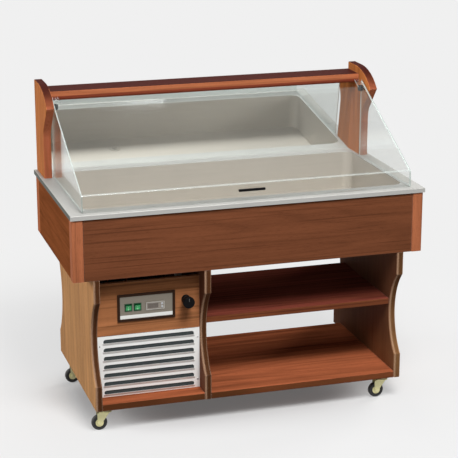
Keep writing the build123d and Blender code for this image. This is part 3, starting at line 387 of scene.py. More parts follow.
def wood_finish(
    name, face, axis, edge=None, arris_highlight=None, reverse=None, crown=None, border=None, flat=ALONG_X, figure=1.0,
    gloss=0.5, wear=0.35, sheen=0.02,
):
    """Lacquered wood with its grain along one axis.

    Another tone can lie on the edges, which face away from the flat axis, with one pale corner along them
    that is a painted highlight where the rounded corner turns towards the negative flat axis; on the reverse,
    which looks down that axis; on the crown, which faces up; and on a border, which is given by its tone, a
    direction and how far along that direction it reaches. The boards use the reverse to paint shade on the
    bay sides of the leg panels.
    """
    sizes = bpy.context.scene.cart_sizes
    made = Finish(name)
    bands = made.grain(axis, 26.0, 1.3, detail=3.0, distortion=0.5)
    rings = ((made.grain(axis, 5.5, 0.5, detail=1.5) * 95.0).sine() * 0.5 + 0.5) ** 3.0
    lines = made.grain(axis, 115.0, 1.2, detail=3.0).ramp(0.55, 0.66)
    fibre = made.grain(axis, 360.0, 8.0, detail=3.0, roughness=0.6)
    pores = made.grain(axis, 1100.0, 42.0, detail=1.0).ramp(0.60, 0.72)
    cloud = made.mottle(2.4, 2.0)
    normal = made.place("Normal")
    end_grain = abs(made.axis(normal, axis)).ramp(0.75, 0.95)
    dark = edge or face
    wood = face
    if reverse:
        wood = made.mix(made.axis(normal, flat).ramp(-0.2, 0.2), reverse, wood)
    if edge:
        wood = made.mix(abs(made.axis(normal, flat)).ramp(0.35, 0.8), edge, wood)
    wood = made.layers(
        wood,
        ((1.0 - bands.ramp(0.30, 0.66)) * (0.42 * figure), shade(dark, 0.42)),
        (rings * (0.30 * figure), shade(face, 0.36)),
        (lines * (0.62 * figure), shade(face, 0.30)),
        (cloud.ramp(0.42, 0.75) * 0.22, shade(face, 1.22)),
        (fibre.ramp(0.42, 0.78) * 0.30, shade(dark, 0.52)),
        (pores * 0.42, shade(face, 0.22)),
        (end_grain * 0.35, shade(face, 0.4)),
    )
    # Painted highlight: a pale line along the rounded corner on one side only.
    if arris_highlight:
        turned = made.axis(made.rounded(sizes.arris_width), flat) - made.axis(normal, flat)
        wood = made.mix((0.0 - turned).ramp(0.02, 0.20) * 0.8, wood, arris_highlight)
    # Darker tone on faces that look up.
    if crown:
        wood = made.mix(made.axis(normal, ALONG_Z).ramp(0.50, 1.0) * 0.97, wood, crown)
    # The canopy's border is painted shade along its foot; the apron ends' border is the real solid wood of
    # the rear post.
    if border:
        tint, direction, level = border
        within = 1.0 - made.dot(made.place(), direction).ramp(level - 0.002, level + 0.003)
        wood = made.mix(within * 0.85, wood, tint)
    # Rubbed wear and painted highlight: lighter colour along the corners.
    rubbed_and_highlit = made.edges(sizes.edge_wear * (1.0 + wear)) * wear
    wood = made.mix(rubbed_and_highlit, wood, lifted(face, 0.7, 0.22))
    rough = gloss + fibre * 0.14 + pores * 0.12 + cloud * 0.06
    relief = made.bump(fibre * 0.5 - pores * 0.9, 0.16, 0.0008)
    return made.coat(Base_Color=wood, Roughness=rough, Normal=relief, Specular_IOR_Level=sheen)


def brushed_finish(name, colour, axis, rough=0.3, depth=0.04, wear=0.0015, metallic=1.0, ends=None):
    """Metal with fine strokes along one axis, faint handling marks and bright corners.

    Another tone can lie on the ends, which look along X; on the deck it is a painted dark reflection.
    """
    made = Finish(name)
    strokes = made.grain(axis, 420.0, 4.0, detail=3.0, roughness=0.65)
    long_strokes = made.grain(axis, 160.0, 2.0, detail=2.0)
    marks = made.mottle(5.0, 4.0, 0.6)
    metal = made.layers(
        colour,
        (strokes.ramp(0.3, 0.75) * 0.30, shade(colour, 0.78)),
        (long_strokes.ramp(0.45, 0.8) * 0.20, shade(colour, 0.84)),
        (marks.ramp(0.52, 0.8) * 0.16, shade(colour, 0.72)),
        (made.edges(wear) * 0.5, shade(colour, 1.25)),
    )
    # Painted reflection on the ends where a tone is given.
    if ends:
        metal = made.mix(made.ends(), metal, ends)
    roughness = rough + strokes * 0.14 + marks * 0.10 - 0.10
    relief = made.bump(strokes + long_strokes * 0.5, depth, 0.0003)
    return made.coat(Base_Color=metal, Metallic=metallic, Roughness=roughness, Normal=relief)


def paint_finish(name, colour, rough=0.42, peel=0.10, dust=0.2, wear=0.0012, bare=1.5):
    """Sprayed paint: a fine orange peel, dust that gathers and rubbed corners."""
    made = Finish(name)
    grain = made.mottle(900.0, 2.0)
    patches = made.mottle(9.0, 4.0, 0.6)
    paint = made.layers(
        colour,
        (patches.ramp(0.35, 0.75) * dust, lifted(colour, 0.5, 0.12)),
        (grain.ramp(0.4, 0.7) * 0.10, shade(colour, 0.82)),
        (made.edges(wear) * 0.5, shade(colour, bare)),
    )
    roughness = rough + patches * 0.16 + grain * 0.06 - 0.08
    return made.coat(Base_Color=paint, Roughness=roughness, Normal=made.bump(grain, peel, 0.0003))


def plastic_finish(name, colour, rough=0.45, grain_scale=1400.0, wear=0.0008, sheen=0.3):
    """Moulded plastic with a fine spark-etched skin and paler corners."""
    made = Finish(name)
    skin = made.mottle(grain_scale, 2.0)
    patches = made.mottle(30.0, 3.0)
    body = made.layers(
        colour,
        (patches.ramp(0.4, 0.75) * 0.25, lifted(colour, 1.25, 0.003)),
        (made.edges(wear) * 0.4, lifted(colour, 1.8, 0.02)),
    )
    roughness = rough + skin * 0.12 + patches * 0.10 - 0.08
    return made.coat(
        Base_Color=body, Roughness=roughness, Normal=made.bump(skin, 0.12, 0.0002), Specular_IOR_Level=sheen,
    )


def dress(material, *names):
    """Give a finish to carried-over nodes."""
    for name in names:
        if name not in NODES:
            raise RuntimeError(f"the frame has no node named {name}")
        node = NODES[name]
        if not node.material_slots:
            node.data.materials.append(material)
        for slot in node.material_slots:
            slot.material = material


def middle(name):
    """The middle of a node's box."""
    low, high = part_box(name)
    return (low + high) / 2


def middle_of(points):
    """The middle of the box round some points."""
    return Vector([(min(values) + max(values)) / 2 for values in zip(*points)])


def piece(name, mesh, material, body, rounding=0.0, smooth=False):
    """Turn a finished bmesh into a piece that rides on a body."""
    bmesh.ops.remove_doubles(mesh, verts=mesh.verts, dist=1e-7)
    bmesh.ops.recalc_face_normals(mesh, faces=mesh.faces)
    data = bpy.data.meshes.new(name)
    mesh.to_mesh(data)
    mesh.free()
    if not data.polygons:
        raise RuntimeError(f"{name} has no faces")
    data.materials.append(material)
    data.polygons.foreach_set("use_smooth", [smooth] * len(data.polygons))
    made = bpy.data.objects.new(name, data)
    bpy.context.scene.collection.objects.link(made)
    if rounding:
        bevel = made.modifiers.new("rounding", "BEVEL")
        bevel.width = rounding
        bevel.segments = 2
        bevel.limit_method = "ANGLE"
    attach(made, body)


def turn(mesh, profile, place, steps=48, wave=None):
    """Turn a closed profile of (radius, height) points about an axis.

    The radius of a point with a third entry, True, also follows wave, which changes with the angle.
    """
    rings = []
    for step in range(steps):
        angle = 2 * math.pi * step / steps
        reach = wave(angle) if wave else 0.0
        ring = []
        for radius, height, *follows in profile:
            out = radius + (reach if follows else 0.0)
            spot = Vector((out * math.cos(angle), out * math.sin(angle), height))
            ring.append(mesh.verts.new(place @ spot))
        rings.append(ring)
    close(mesh, rings)


def close(mesh, rings):
    """Join rings of points, each to the next and the last to the first."""
    for step, ring in enumerate(rings):
        following = rings[(step + 1) % len(rings)]
        for index in range(len(ring)):
            after = (index + 1) % len(ring)
            mesh.faces.new((ring[index], following[index], following[after], ring[after]))


def prism(mesh, outline, depth, place):
    """Raise a flat outline by a depth."""
    low = [mesh.verts.new(place @ Vector((x, y, 0.0))) for x, y in outline]
    high = [mesh.verts.new(place @ Vector((x, y, depth))) for x, y in outline]
    mesh.faces.new(low)
    mesh.faces.new(high)
    for index in range(len(outline)):
        after = (index + 1) % len(outline)
        mesh.faces.new((low[index], low[after], high[after], high[index]))


def oblong(x, y, half_width, half_height):
    """The corners of an oblong round a middle."""
    x0, x1 = x - half_width, x + half_width
    y0, y1 = y - half_height, y + half_height
    return (x0, y0), (x1, y0), (x1, y1), (x0, y1)


def rim(mesh, width, height, band, depth, place):
    """A rectangular rim of a given band width."""
    outer = oblong(0.0, 0.0, width / 2, height / 2)
    inner = [(x - math.copysign(band, x), y - math.copysign(band, y)) for x, y in outer]
    levels = []
    for outline, level in ((outer, 0.0), (outer, depth), (inner, depth), (inner, 0.0)):
        levels.append([mesh.verts.new(place @ Vector((x, y, level))) for x, y in outline])
    close(mesh, levels)


def front_place(x, y, z):
    """A place whose flat looks to the customer's side."""
    return Matrix.Translation((x, y, z)) @ FACING_FRONT


class CART_OT_boards(bpy.types.Operator):
    """Finish every wooden board with grain along its length"""

    bl_idname = "cart.boards"
    bl_label = "Wooden boards"

    def execute(self, context):
        tint, sizes = tints(context), context.scene.cart_sizes
        rear_post = (tint.post, FRONTWARD, sizes.rear_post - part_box("apron_left")[1].y)
        # Painted shade along the canopy's lower front edge.
        foot = (tint.foot, UPWARD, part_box("canopy")[0].z + sizes.foot_shade_height)
        apron = {"figure": 0.75}
        apron_end = {"figure": 0.75, "border": rear_post, "sheen": 0.0}
        lipping = {"edge": tint.edge, "arris_highlight": tint.arris_highlight, "figure": 0.45}
        left_leg = {"reverse": tint.leg, **lipping}
        right_leg = {"reverse": tint.inner, **lipping}
        floor_board = {"edge": tint.shelf_edge, "flat": ALONG_Z, "sheen": 0.0}
        mid_shelf = {"edge": tint.mid_edge, "flat": ALONG_Z, "sheen": 0.0}
        upright = {"edge": tint.beak, "crown": tint.crown, "figure": 0.8}
        canopy = {"crown": tint.crown, "border": foot}
        boards = (
            ("apron_long_veneer", tint.apron, ALONG_X, apron, ("apron_front", "apron_back")),
            # The ends' lighter veneer tone is painted light.
            ("apron_end_veneer", tint.apron_end, ALONG_Y, apron_end, ("apron_left", "apron_right")),
            ("post_wood", tint.post, ALONG_Z, {"figure": 0.6}, ("post_left", "post_right")),
            # The inner tone on the leg panels and the partition is painted shade inside the bays.
            ("left_leg_veneer", tint.inner, ALONG_Z, left_leg, ("left_leg_panel",)),
            ("partition_veneer", tint.inner, ALONG_Z, lipping, ("middle_partition",)),
            ("right_leg_veneer", tint.leg, ALONG_Z, right_leg, ("right_leg_panel",)),
            ("floor_board_wood", tint.shelf, ALONG_X, floor_board, ("machine_floor", "bay_floor")),
            # The middle shelf's darker top is partly painted shade under the apron.
            ("mid_shelf_wood", tint.mid_shelf, ALONG_X, mid_shelf, ("mid_shelf",)),
            ("upright_wood", tint.upright, ALONG_Z, upright, ("upright_left", "upright_right")),
            ("canopy_wood", tint.canopy, ALONG_X, canopy, ("canopy",)),
            ("fascia_veneer", tint.fascia, ALONG_X, {}, ("fascia",)),
            ("back_veneer", tint.back, ALONG_X, {"gloss": 0.46}, ("back_panel",)),
            ("batten_wood", tint.batten, ALONG_Z, {"gloss": 0.6}, ("panel_battens",)),
        )
        for name, face, grain, looks, nodes in boards:
            dress(wood_finish(name, face, grain, **looks), *nodes)
        return {"FINISHED"}


class CART_OT_steelwork(bpy.types.Operator):
    """Finish the deck, the well, the grille and the folded sheets, and set the strainer in the well"""

    bl_idname = "cart.steelwork"
    bl_label = "Deck, well and sheets"

    def execute(self, context):
        tint = tints(context)
        # Painted dark reflection on the deck's end lips.
        dark_end_reflection = tint.deck_end_dark_reflection
        deck = brushed_finish("deck_steel", tint.steel, ALONG_X, rough=0.62, metallic=0.5, ends=dark_end_reflection)
        dress(deck, "deck")
        tank = brushed_finish("tank_steel", tint.tank, ALONG_X, rough=0.5, metallic=0.4)
        dress(tank, "well")
        folded = brushed_finish("folded_sheet", tone(186, 188, 190), ALONG_X, rough=0.42)
        dress(folded, "tub_bottom", "unit_tray")
        # Partly painted shade: the rear vent panel is painted dark so the gap above the fascia reads as
        # shade, partly a dark coat that suits the wood.
        dress(paint_finish("vent_panel_coat", tone(56, 54, 52), rough=0.45, dust=0.1), "rear_vent_panel")
        dress(paint_finish("grille_coat", tint.grille, rough=0.34, dust=0.06, bare=1.15), "grille")
        self.filter_mat()
        self.strainer(context.scene.cart_sizes, tank)
        self.screw_marks()
        return {"FINISHED"}

    def filter_mat(self):
        """A dark woven mat close behind the louvres."""
        gap, thickness = 0.0045, 0.003
        side_margin, end_margin = 0.021, 0.003
        # In radians per metre, which gives a thread about every 2 mm.
        weave = 3200.0
        low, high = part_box("grille")
        made = Finish("filter_mesh")
        spot = made.place()
        warp = (made.axis(spot, ALONG_X) * weave).sine()
        weft = (made.axis(spot, ALONG_Z) * weave).sine()
        lint = made.mottle(40.0, 4.0, 0.65)
        thread = (warp.larger(weft) * 0.5 + 0.5).ramp(0.35, 0.9)
        mesh_colour = made.mix(thread, tone(38, 43, 44), tone(62, 70, 71))
        mesh_colour = made.mix(lint.ramp(0.5, 0.8) * 0.25, mesh_colour, tone(110, 108, 102))
        finish = made.coat(
            Base_Color=mesh_colour, Roughness=0.7 + lint * 0.2, Normal=made.bump(thread, 0.4, 0.0004),
        )
        mesh = bmesh.new()
        place = front_place((low.x + high.x) / 2, high.y + gap, (low.z + high.z) / 2)
        half_width, half_height = (high.x - low.x) / 2 - side_margin, (high.z - low.z) / 2 - end_margin
        prism(mesh, oblong(0.0, 0.0, half_width, half_height), thickness, place)
        piece("grille_filter", mesh, finish, "cart", rounding=0.0008)

    def strainer(self, sizes, material):
        """A ring with bars over the drain hole."""
        lift, outer_height, inner_height = 0.0015, 0.0012, 0.0026
        half_bar, bar_height = 0.0011, 0.0022
        radius, count = sizes.strainer_radius, sizes.strainer_bars
        hole = middle("drain_pipe")
        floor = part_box("drain_pipe")[1].z + lift
        place = Matrix.Translation((hole.x, hole.y, floor))
        mesh = bmesh.new()
        band = 0.18 * radius
        ring = (
            (radius, 0.0), (radius, outer_height), (radius - 0.3 * band, inner_height),
            (radius - band, inner_height), (radius - band, 0.0),
        )
        turn(mesh, ring, place)
        inner = radius - 0.7 * band
        for index in range(count):
            offset = (index - (count - 1) / 2) * 2 * inner / (count + 1)
            half_length = math.sqrt(inner ** 2 - offset ** 2)
            prism(mesh, oblong(offset, 0.0, half_bar, half_length), bar_height, place)
        piece("well_strainer", mesh, material, "cart", rounding=0.0003)

    def screw_marks(self):
        """A cross recess on each panel screw."""
        half_arm, half_slot = 0.0017, 0.0004
        level_height, upright_height = 0.00012, 0.00014
        # Screws stand further apart than one cell of a 50 mm grid, so a cell holds one head.
        cells_per_metre, flush = 20, 1e-5
        finish = brushed_finish("screw_metal", tone(198, 198, 198), ALONG_X, rough=0.26, wear=0.0004)
        dress(finish, "panel_screws")
        recess = plastic_finish("screw_recess", tone(40, 40, 42), rough=0.5)
        low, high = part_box("panel_screws")
        heads = {}
        for vert in NODES["panel_screws"].data.vertices:
            at_front = vert.co.y < (low.y + high.y) / 2
            if abs(vert.co.y - (low.y if at_front else high.y)) < flush:
                key = (at_front, round(vert.co.x * cells_per_metre), round(vert.co.z * cells_per_metre))
                heads.setdefault(key, []).append(vert.co.copy())
        mesh = bmesh.new()
        for (at_front, _, _), points in heads.items():
            spot = middle_of(points)
            spot.y = low.y if at_front else high.y
            turned = Matrix.Rotation(0.0 if at_front else math.pi, 4, "Z")
            place = Matrix.Translation(spot) @ turned @ FACING_FRONT
            prism(mesh, oblong(0.0, 0.0, half_arm, half_slot), level_height, place)
            prism(mesh, oblong(0.0, 0.0, half_slot, half_arm), upright_height, place)
        piece("screw_recesses", mesh, recess, "cart")


class CART_OT_hood(bpy.types.Operator):
    """Finish the clear hood, its handle, its pivots and the mirror"""

    bl_idname = "cart.hood"
    bl_label = "Hood and mirror"

    def execute(self, context):
        tint = tints(context)
        sheet = self.acrylic("hood_sheet_acrylic", tint.acrylic, self.sheet_edge)
        dress(sheet, "hood_sheet")
        wing = self.acrylic("hood_wing_acrylic", tint.acrylic, self.wing_edge)
        dress(wing, "hood_wing_left", "hood_wing_right")
        black = plastic_finish("hood_black", tint.black, rough=0.4, sheen=0.08)
        dress(black, "hinge_knobs", "hood_handle")
        self.mirror()
        return {"FINISHED"}

    def sheet_edge(self, made):
        """1 on the bent sheet's cut edges, both ends, the top, the notch and the foot, and less along its
        bend, a painted highlight.
        """
        normal = made.place("Normal")
        top = made.dot(normal, HOOD_TOP).ramp(0.8, 0.95)
        foot = (0.0 - made.axis(normal, ALONG_Z)).ramp(0.96, 0.99)
        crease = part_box("hood_sheet")[0].z + bpy.context.scene.cart_sizes.crease_height
        # Painted highlight: a pale line along the bend.
        bend_highlight = 1.0 - abs(made.axis(made.place(), ALONG_Z) - crease).ramp(0.001, 0.0028)
        return made.ends().larger(top).larger(foot).larger(bend_highlight * 0.4)

    def wing_edge(self, made):
        """1 on a wing's cut edges, which face away from X."""
        return 1.0 - abs(made.axis(made.place("Normal"), ALONG_X)).ramp(0.3, 0.8)

    def acrylic(self, name, rim_colour, find_edge):
        """Clear sheet: see-through with its gloss, a faint film and pale cut edges."""
        made = Finish(name)
        film = made.mottle(7.0, 4.0, 0.6)
        scuffs = made.grain(ALONG_X, 220.0, 12.0, detail=2.0).ramp(0.62, 0.8)
        gloss = made.shader(
            Base_Color=made.mix(film, (0.93, 0.96, 0.95), (0.80, 0.84, 0.83)),
            Metallic=1.0, Roughness=0.03 + film * 0.05 + scuffs * 0.12,
        )
        clear = made.node("ShaderNodeBsdfTransparent", None, {"Color": (0.985, 0.99, 0.987)})
        facing = made.node("ShaderNodeLayerWeight", None, {"Blend": 0.5}, output="Facing")
        share = facing ** 4.4 * 0.95 + film.ramp(0.45, 0.85) * 0.012 + scuffs * 0.008 + 0.024
        body = made.mix_shaders(share, clear, gloss)
        edge = made.shader(
            Base_Color=made.mix(film, rim_colour, shade(rim_colour, 0.8)), Roughness=0.22 + scuffs * 0.2,
        )
        return made.done(made.mix_shaders(find_edge(made) * 0.62, body, edge))

    def mirror(self):
        """Silvered glass with a faint film and a dark cut edge."""
        made = Finish("mirror_glass")
        film = made.mottle(6.0, 4.0, 0.6)
        wipe = made.grain(ALONG_X, 40.0, 2.0, detail=2.0)
        silver = made.mix(film.ramp(0.5, 0.85) * 0.25, (0.80, 0.82, 0.81), (0.70, 0.73, 0.72))
        ends = made.ends()
        rough = 0.015 + wipe.ramp(0.5, 0.8) * 0.03 + film * 0.02 + ends * 0.2
        dress(made.coat(
            Base_Color=made.mix(ends, silver, tone(62, 78, 72)), Metallic=1.0 - ends, Roughness=rough,
        ), "mirror")


class CART_OT_controls(bpy.types.Operator):
    """Finish the control panel and add its rims, lenses, marks and display"""

    bl_idname = "cart.controls"
    bl_label = "Controls"

    def execute(self, context):
        tint, sizes = tints(context), context.scene.cart_sizes
        black = plastic_finish("control_black", tint.black, rough=0.5, sheen=0.08)
        dress(black, "drain_knob", "cable_gland")
        dress(plastic_finish("bezel_brown", tint.bezel, rough=0.5, sheen=0.08), "control_bezel")
        dress(plastic_finish("switch_frame", tint.switch, rough=0.4), "switch_bodies")
        dress(plastic_finish("thermostat_case", tint.case, rough=0.4), "thermostat")
        self.plate(tint, sizes)
        self.rockers(tint)
        self.thermostat(sizes)
        self.keys(tint.key)
        self.knob(sizes, black)
        return {"FINISHED"}

    def plate(self, tint, sizes):
        """Brushed plate with a bare pale strip along its foot."""
        strip_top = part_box("control_bezel")[0].z + sizes.bezel_border + sizes.strip_height
        made = Finish("control_plate_metal")
        strokes = made.grain(ALONG_X, 900.0, 9.0, detail=3.0)
        marks = made.mottle(28.0, 3.0)
        strip = 1.0 - made.axis(made.place(), ALONG_Z).ramp(strip_top, strip_top + 0.0004)
        metal = made.layers(
            tint.plate,
            (strokes.ramp(0.3, 0.75) * 0.35, shade(tint.plate, 0.72)),
            (marks.ramp(0.5, 0.8) * 0.15, shade(tint.plate, 1.25)),
        )
        paint = made.mix(marks * 0.2, tint.strip, shade(tint.strip, 0.86))
        dress(made.coat(
            Base_Color=made.mix(strip, metal, paint), Metallic=(1.0 - strip) * 0.55,
            Roughness=0.36 + strokes * 0.14, Normal=made.bump(strokes * (1.0 - strip), 0.1, 0.0002),
        ), "control_plate")

    def rockers(self, tint):
        """Green lenses with a painted glow, lightest in the middle, and an on and an off mark."""
        made = Finish("rocker_lens")
        spot = made.place("Generated")
        across = abs(made.axis(spot, ALONG_X) - 0.5) * 2.0
        up = abs(made.axis(spot, ALONG_Z) - 0.5) * 2.0
        # Painted glow: the lens colour is lighter in the middle as if lit from inside.
        glow = (1.0 - across.ramp(0.55, 0.95)) * (1.0 - up.ramp(0.6, 0.98))
        ribs = (made.axis(made.place(), ALONG_Z) * 2600.0).sine() * 0.5 + 0.5
        lens = made.layers(
            tint.lens_rim,
            (glow * 0.85 + 0.05, tint.lens),
            (ribs * 0.15, tint.lens_rim),
        )
        dress(made.coat(
            Base_Color=lens, Roughness=0.16 + ribs * 0.08, Normal=made.bump(ribs, 0.1, 0.0002),
            Coat_Weight=0.4, Coat_Roughness=0.08,
        ), *ROCKERS)
        white = plastic_finish("rocker_mark", tone(222, 236, 222), rough=0.4)
        for name in ROCKERS:
            mesh = bmesh.new()
            self.rocker_marks(mesh, NODES[name].data, middle(name).z)
            piece(f"{name}_marks", mesh, white, name)

    def rocker_marks(self, mesh, rocker, hinge_level):
        """A stroke on the upper half of a rocker's face and a ring on the lower half."""
        rise, half_width, half_length = 0.00015, 0.0004, 0.0022
        outer, inner, ring_steps = 0.0024, 0.0017, 28
        front = [face for face in rocker.polygons if face.normal.y < -0.9]
        upper = [face for face in front if face.center.z > hinge_level]
        lower = [face for face in front if face.center.z <= hinge_level]
        prism(mesh, oblong(0.0, 0.0, half_width, half_length), rise, self.face_place(rocker, upper))
        ring = ((outer, 0.0), (outer, rise), (inner, rise), (inner, 0.0))
        turn(mesh, ring, self.face_place(rocker, lower), ring_steps)

    def face_place(self, rocker, faces):
        """The middle of some faces, with the flat on the largest of them."""
        largest = max(faces, key=lambda face: face.area)
        normal = largest.normal.copy()
        spot = middle_of([rocker.vertices[index].co for face in faces for index in face.vertices])
        spot -= normal * (spot - largest.center).dot(normal)
        upward = Vector(UPWARD)
        upward = (upward - normal * upward.dot(normal)).normalized()
        side = upward.cross(normal)
        return Matrix.Translation(spot) @ Matrix((side, upward, normal)).transposed().to_4x4()

    def thermostat(self, sizes):
        """A pale rim round the face, and a brown window with its unlit digits."""
        inset, rise = 0.0016, 0.0006
        window_shift, window_sink = 0.009, 0.001
        low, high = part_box("thermostat")
        x, z = (low.x + high.x) / 2, (low.z + high.z) / 2
        width, height = high.x - low.x - inset, high.z - low.z - inset
        pale = plastic_finish("thermostat_rim", tone(190, 188, 182), rough=0.4)
        mesh = bmesh.new()
        rim(mesh, width, height, sizes.frame_width, rise, front_place(x, low.y, z))
        piece("thermostat_rim", mesh, pale, "cart", rounding=0.00015)
        self.display(front_place(x - window_shift, low.y + window_sink, z))

    def display(self, window):
        """A brown window with three unlit figures of seven segments."""
        half_width, half_height, thickness = 0.0216, 0.0096, 0.0007
        pitch, storey, side = 0.0125, 0.0062, 0.0034
        half_line, half_level, half_upright, rise = 0.0005, 0.0027, 0.0025, 0.0001
        made = Finish("display_window")
        haze = made.mottle(120.0, 2.0)
        glass = made.coat(
            Base_Color=made.mix(haze, tone(92, 82, 74), tone(108, 97, 88)),
            Roughness=0.10 + haze * 0.06, Coat_Weight=0.5, Coat_Roughness=0.04,
        )
        mesh = bmesh.new()
        prism(mesh, oblong(0.0, 0.0, half_width, half_height), thickness, window)
        piece("display_window", mesh, glass, "cart", rounding=0.0002)
        segments = plastic_finish("display_segments", tone(78, 69, 62), rough=0.3)
        mesh = bmesh.new()
        face = window @ Matrix.Translation((0.0, 0.0, thickness))
        for column in (-pitch, 0.0, pitch):
            for level in (-storey, 0.0, storey):
                prism(mesh, oblong(column, level, half_level, half_line), rise, face)
            for x in (column - side, column + side):
                for level in (-storey / 2, storey / 2):
                    prism(mesh, oblong(x, level, half_line, half_upright), rise, face)
        piece("display_segments", mesh, segments, "cart")

    def keys(self, colour):
        """Pale keys with a raised arrow each."""
        arrow, rise = ((-0.0017, -0.0012), (0.0017, -0.0012), (0.0, 0.0017)), 0.00015
        pale = plastic_finish("key_plastic", colour, rough=0.36)
        dress(pale, "key_up", "key_down")
        dark = plastic_finish("key_arrow", tone(104, 104, 106), rough=0.5)
        for name, way in (("key_up", 1.0), ("key_down", -1.0)):
            low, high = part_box(name)
            place = front_place((low.x + high.x) / 2, low.y, (low.z + high.z) / 2)
            mesh = bmesh.new()
            prism(mesh, [(x, y * way) for x, y in arrow], rise, place)
            piece(f"{name}_arrow", mesh, dark, name)

    def knob(self, sizes, black):
        """A fluted grip band round the drain knob, a pale pointer on its face and a rosette behind it."""
        low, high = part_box("drain_knob")
        centre = middle("drain_knob")
        self.grip(sizes, black, Vector((centre.x, low.y, centre.z)), (high.x - low.x) / 2)
        self.pointer(front_place(centre.x, low.y, centre.z))
        self.rosette(sizes, black, front_place(centre.x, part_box("fascia")[0].y, centre.z))

    def grip(self, sizes, black, spot, front):
        """The fluted band, which follows the knob's taper from its front radius."""
        back, knob_length, start = 0.019, 0.034, 0.005
        sink, lip, swell, flute_depth = 0.001, 0.0003, 0.0005, 0.0007
        lip_length, swell_length = 0.0004, 0.002
        steps_per_flute = 12
        end = start + sizes.knob_grip
        taper = (front - back) / knob_length
        first, last = front - taper * start, front - taper * end

        def flute(angle):
            return flute_depth * abs(math.cos(sizes.knob_flutes * angle / 2))

        profile = (
            (first - sink, start),
            (first + lip, start + lip_length, True),
            (first + swell, start + swell_length, True),
            (last + swell, end - swell_length, True),
            (last + lip, end - lip_length, True),
            (last - sink, end),
        )
        place = Matrix.Translation(spot) @ Matrix.Rotation(-math.pi / 2, 4, "X")
        mesh = bmesh.new()
        turn(mesh, profile, place, steps_per_flute * sizes.knob_flutes, flute)
        piece("drain_knob_grip", mesh, black, "drain_knob", smooth=True)

    def pointer(self, place):
        """A pale raised line from near the knob's middle to its rim."""
        half_width, start, end, rise = 0.0009, 0.006, 0.0175, 0.00025
        mesh = bmesh.new()
        prism(mesh, oblong(0.0, (start + end) / 2, half_width, (end - start) / 2), rise, place)
        pale = plastic_finish("knob_pointer", tone(96, 96, 95), rough=0.5)
        piece("drain_knob_pointer", mesh, pale, "drain_knob")

    def rosette(self, sizes, black, place):
        """A domed ring on the fascia, with a bore for the knob's stem."""
        radius, rise, bore, steps = sizes.rosette_radius, sizes.rosette_rise, 0.0065, 56
        profile = (
            (bore, 0.0), (bore, rise), (0.74 * radius, rise),
            (0.93 * radius, 0.66 * rise), (radius, 0.36 * rise), (radius, 0.0),
        )
        mesh = bmesh.new()
        turn(mesh, profile, place, steps)
        piece("drain_rosette", mesh, black, "cart", rounding=0.0006)


class CART_OT_cooling_unit(bpy.types.Operator):
    """Finish the compressor, the condenser, the fan, the pipes and the drain"""

    bl_idname = "cart.cooling_unit"
    bl_label = "Cooling unit"

    def execute(self, context):
        tint = tints(context)
        paint = paint_finish("unit_paint", tint.unit, rough=0.38, dust=0.25)
        dress(paint, "compressor", "fan_motor", "fan_shroud")
        dress(paint_finish("fin_paint", shade(tint.unit, 1.1), rough=0.5, dust=0.35), "condenser")
        dress(brushed_finish("fan_metal", tone(150, 152, 156), ALONG_X, rough=0.4), "fan_blades")
        copper = brushed_finish("pipe_copper", tint.copper, ALONG_Z, rough=0.34)
        dress(copper, "evaporator", "refrigerant_lines")
        dress(plastic_finish("drain_plastic", tint.drain, rough=0.42), "drain_pipe", "drain_valve")
        self.foam(tint.foam)
        return {"FINISHED"}

    def foam(self, colour):
        """Cut foam with its cells."""
        made = Finish("insulation_foam")
        cells = made.node("ShaderNodeTexVoronoi", None, {"Vector": made.place(), "Scale": 420.0})
        patches = made.mottle(12.0, 3.0)
        foam = made.layers(
            shade(colour, 0.8),
            (cells.ramp(0.1, 0.6) * 0.4, colour),
            (patches.ramp(0.4, 0.8) * 0.3, shade(colour, 0.7)),
        )
        dress(made.coat(
            Base_Color=foam, Roughness=0.85 + patches * 0.1, Normal=made.bump(cells, 0.4, 0.001),
        ), "insulation")


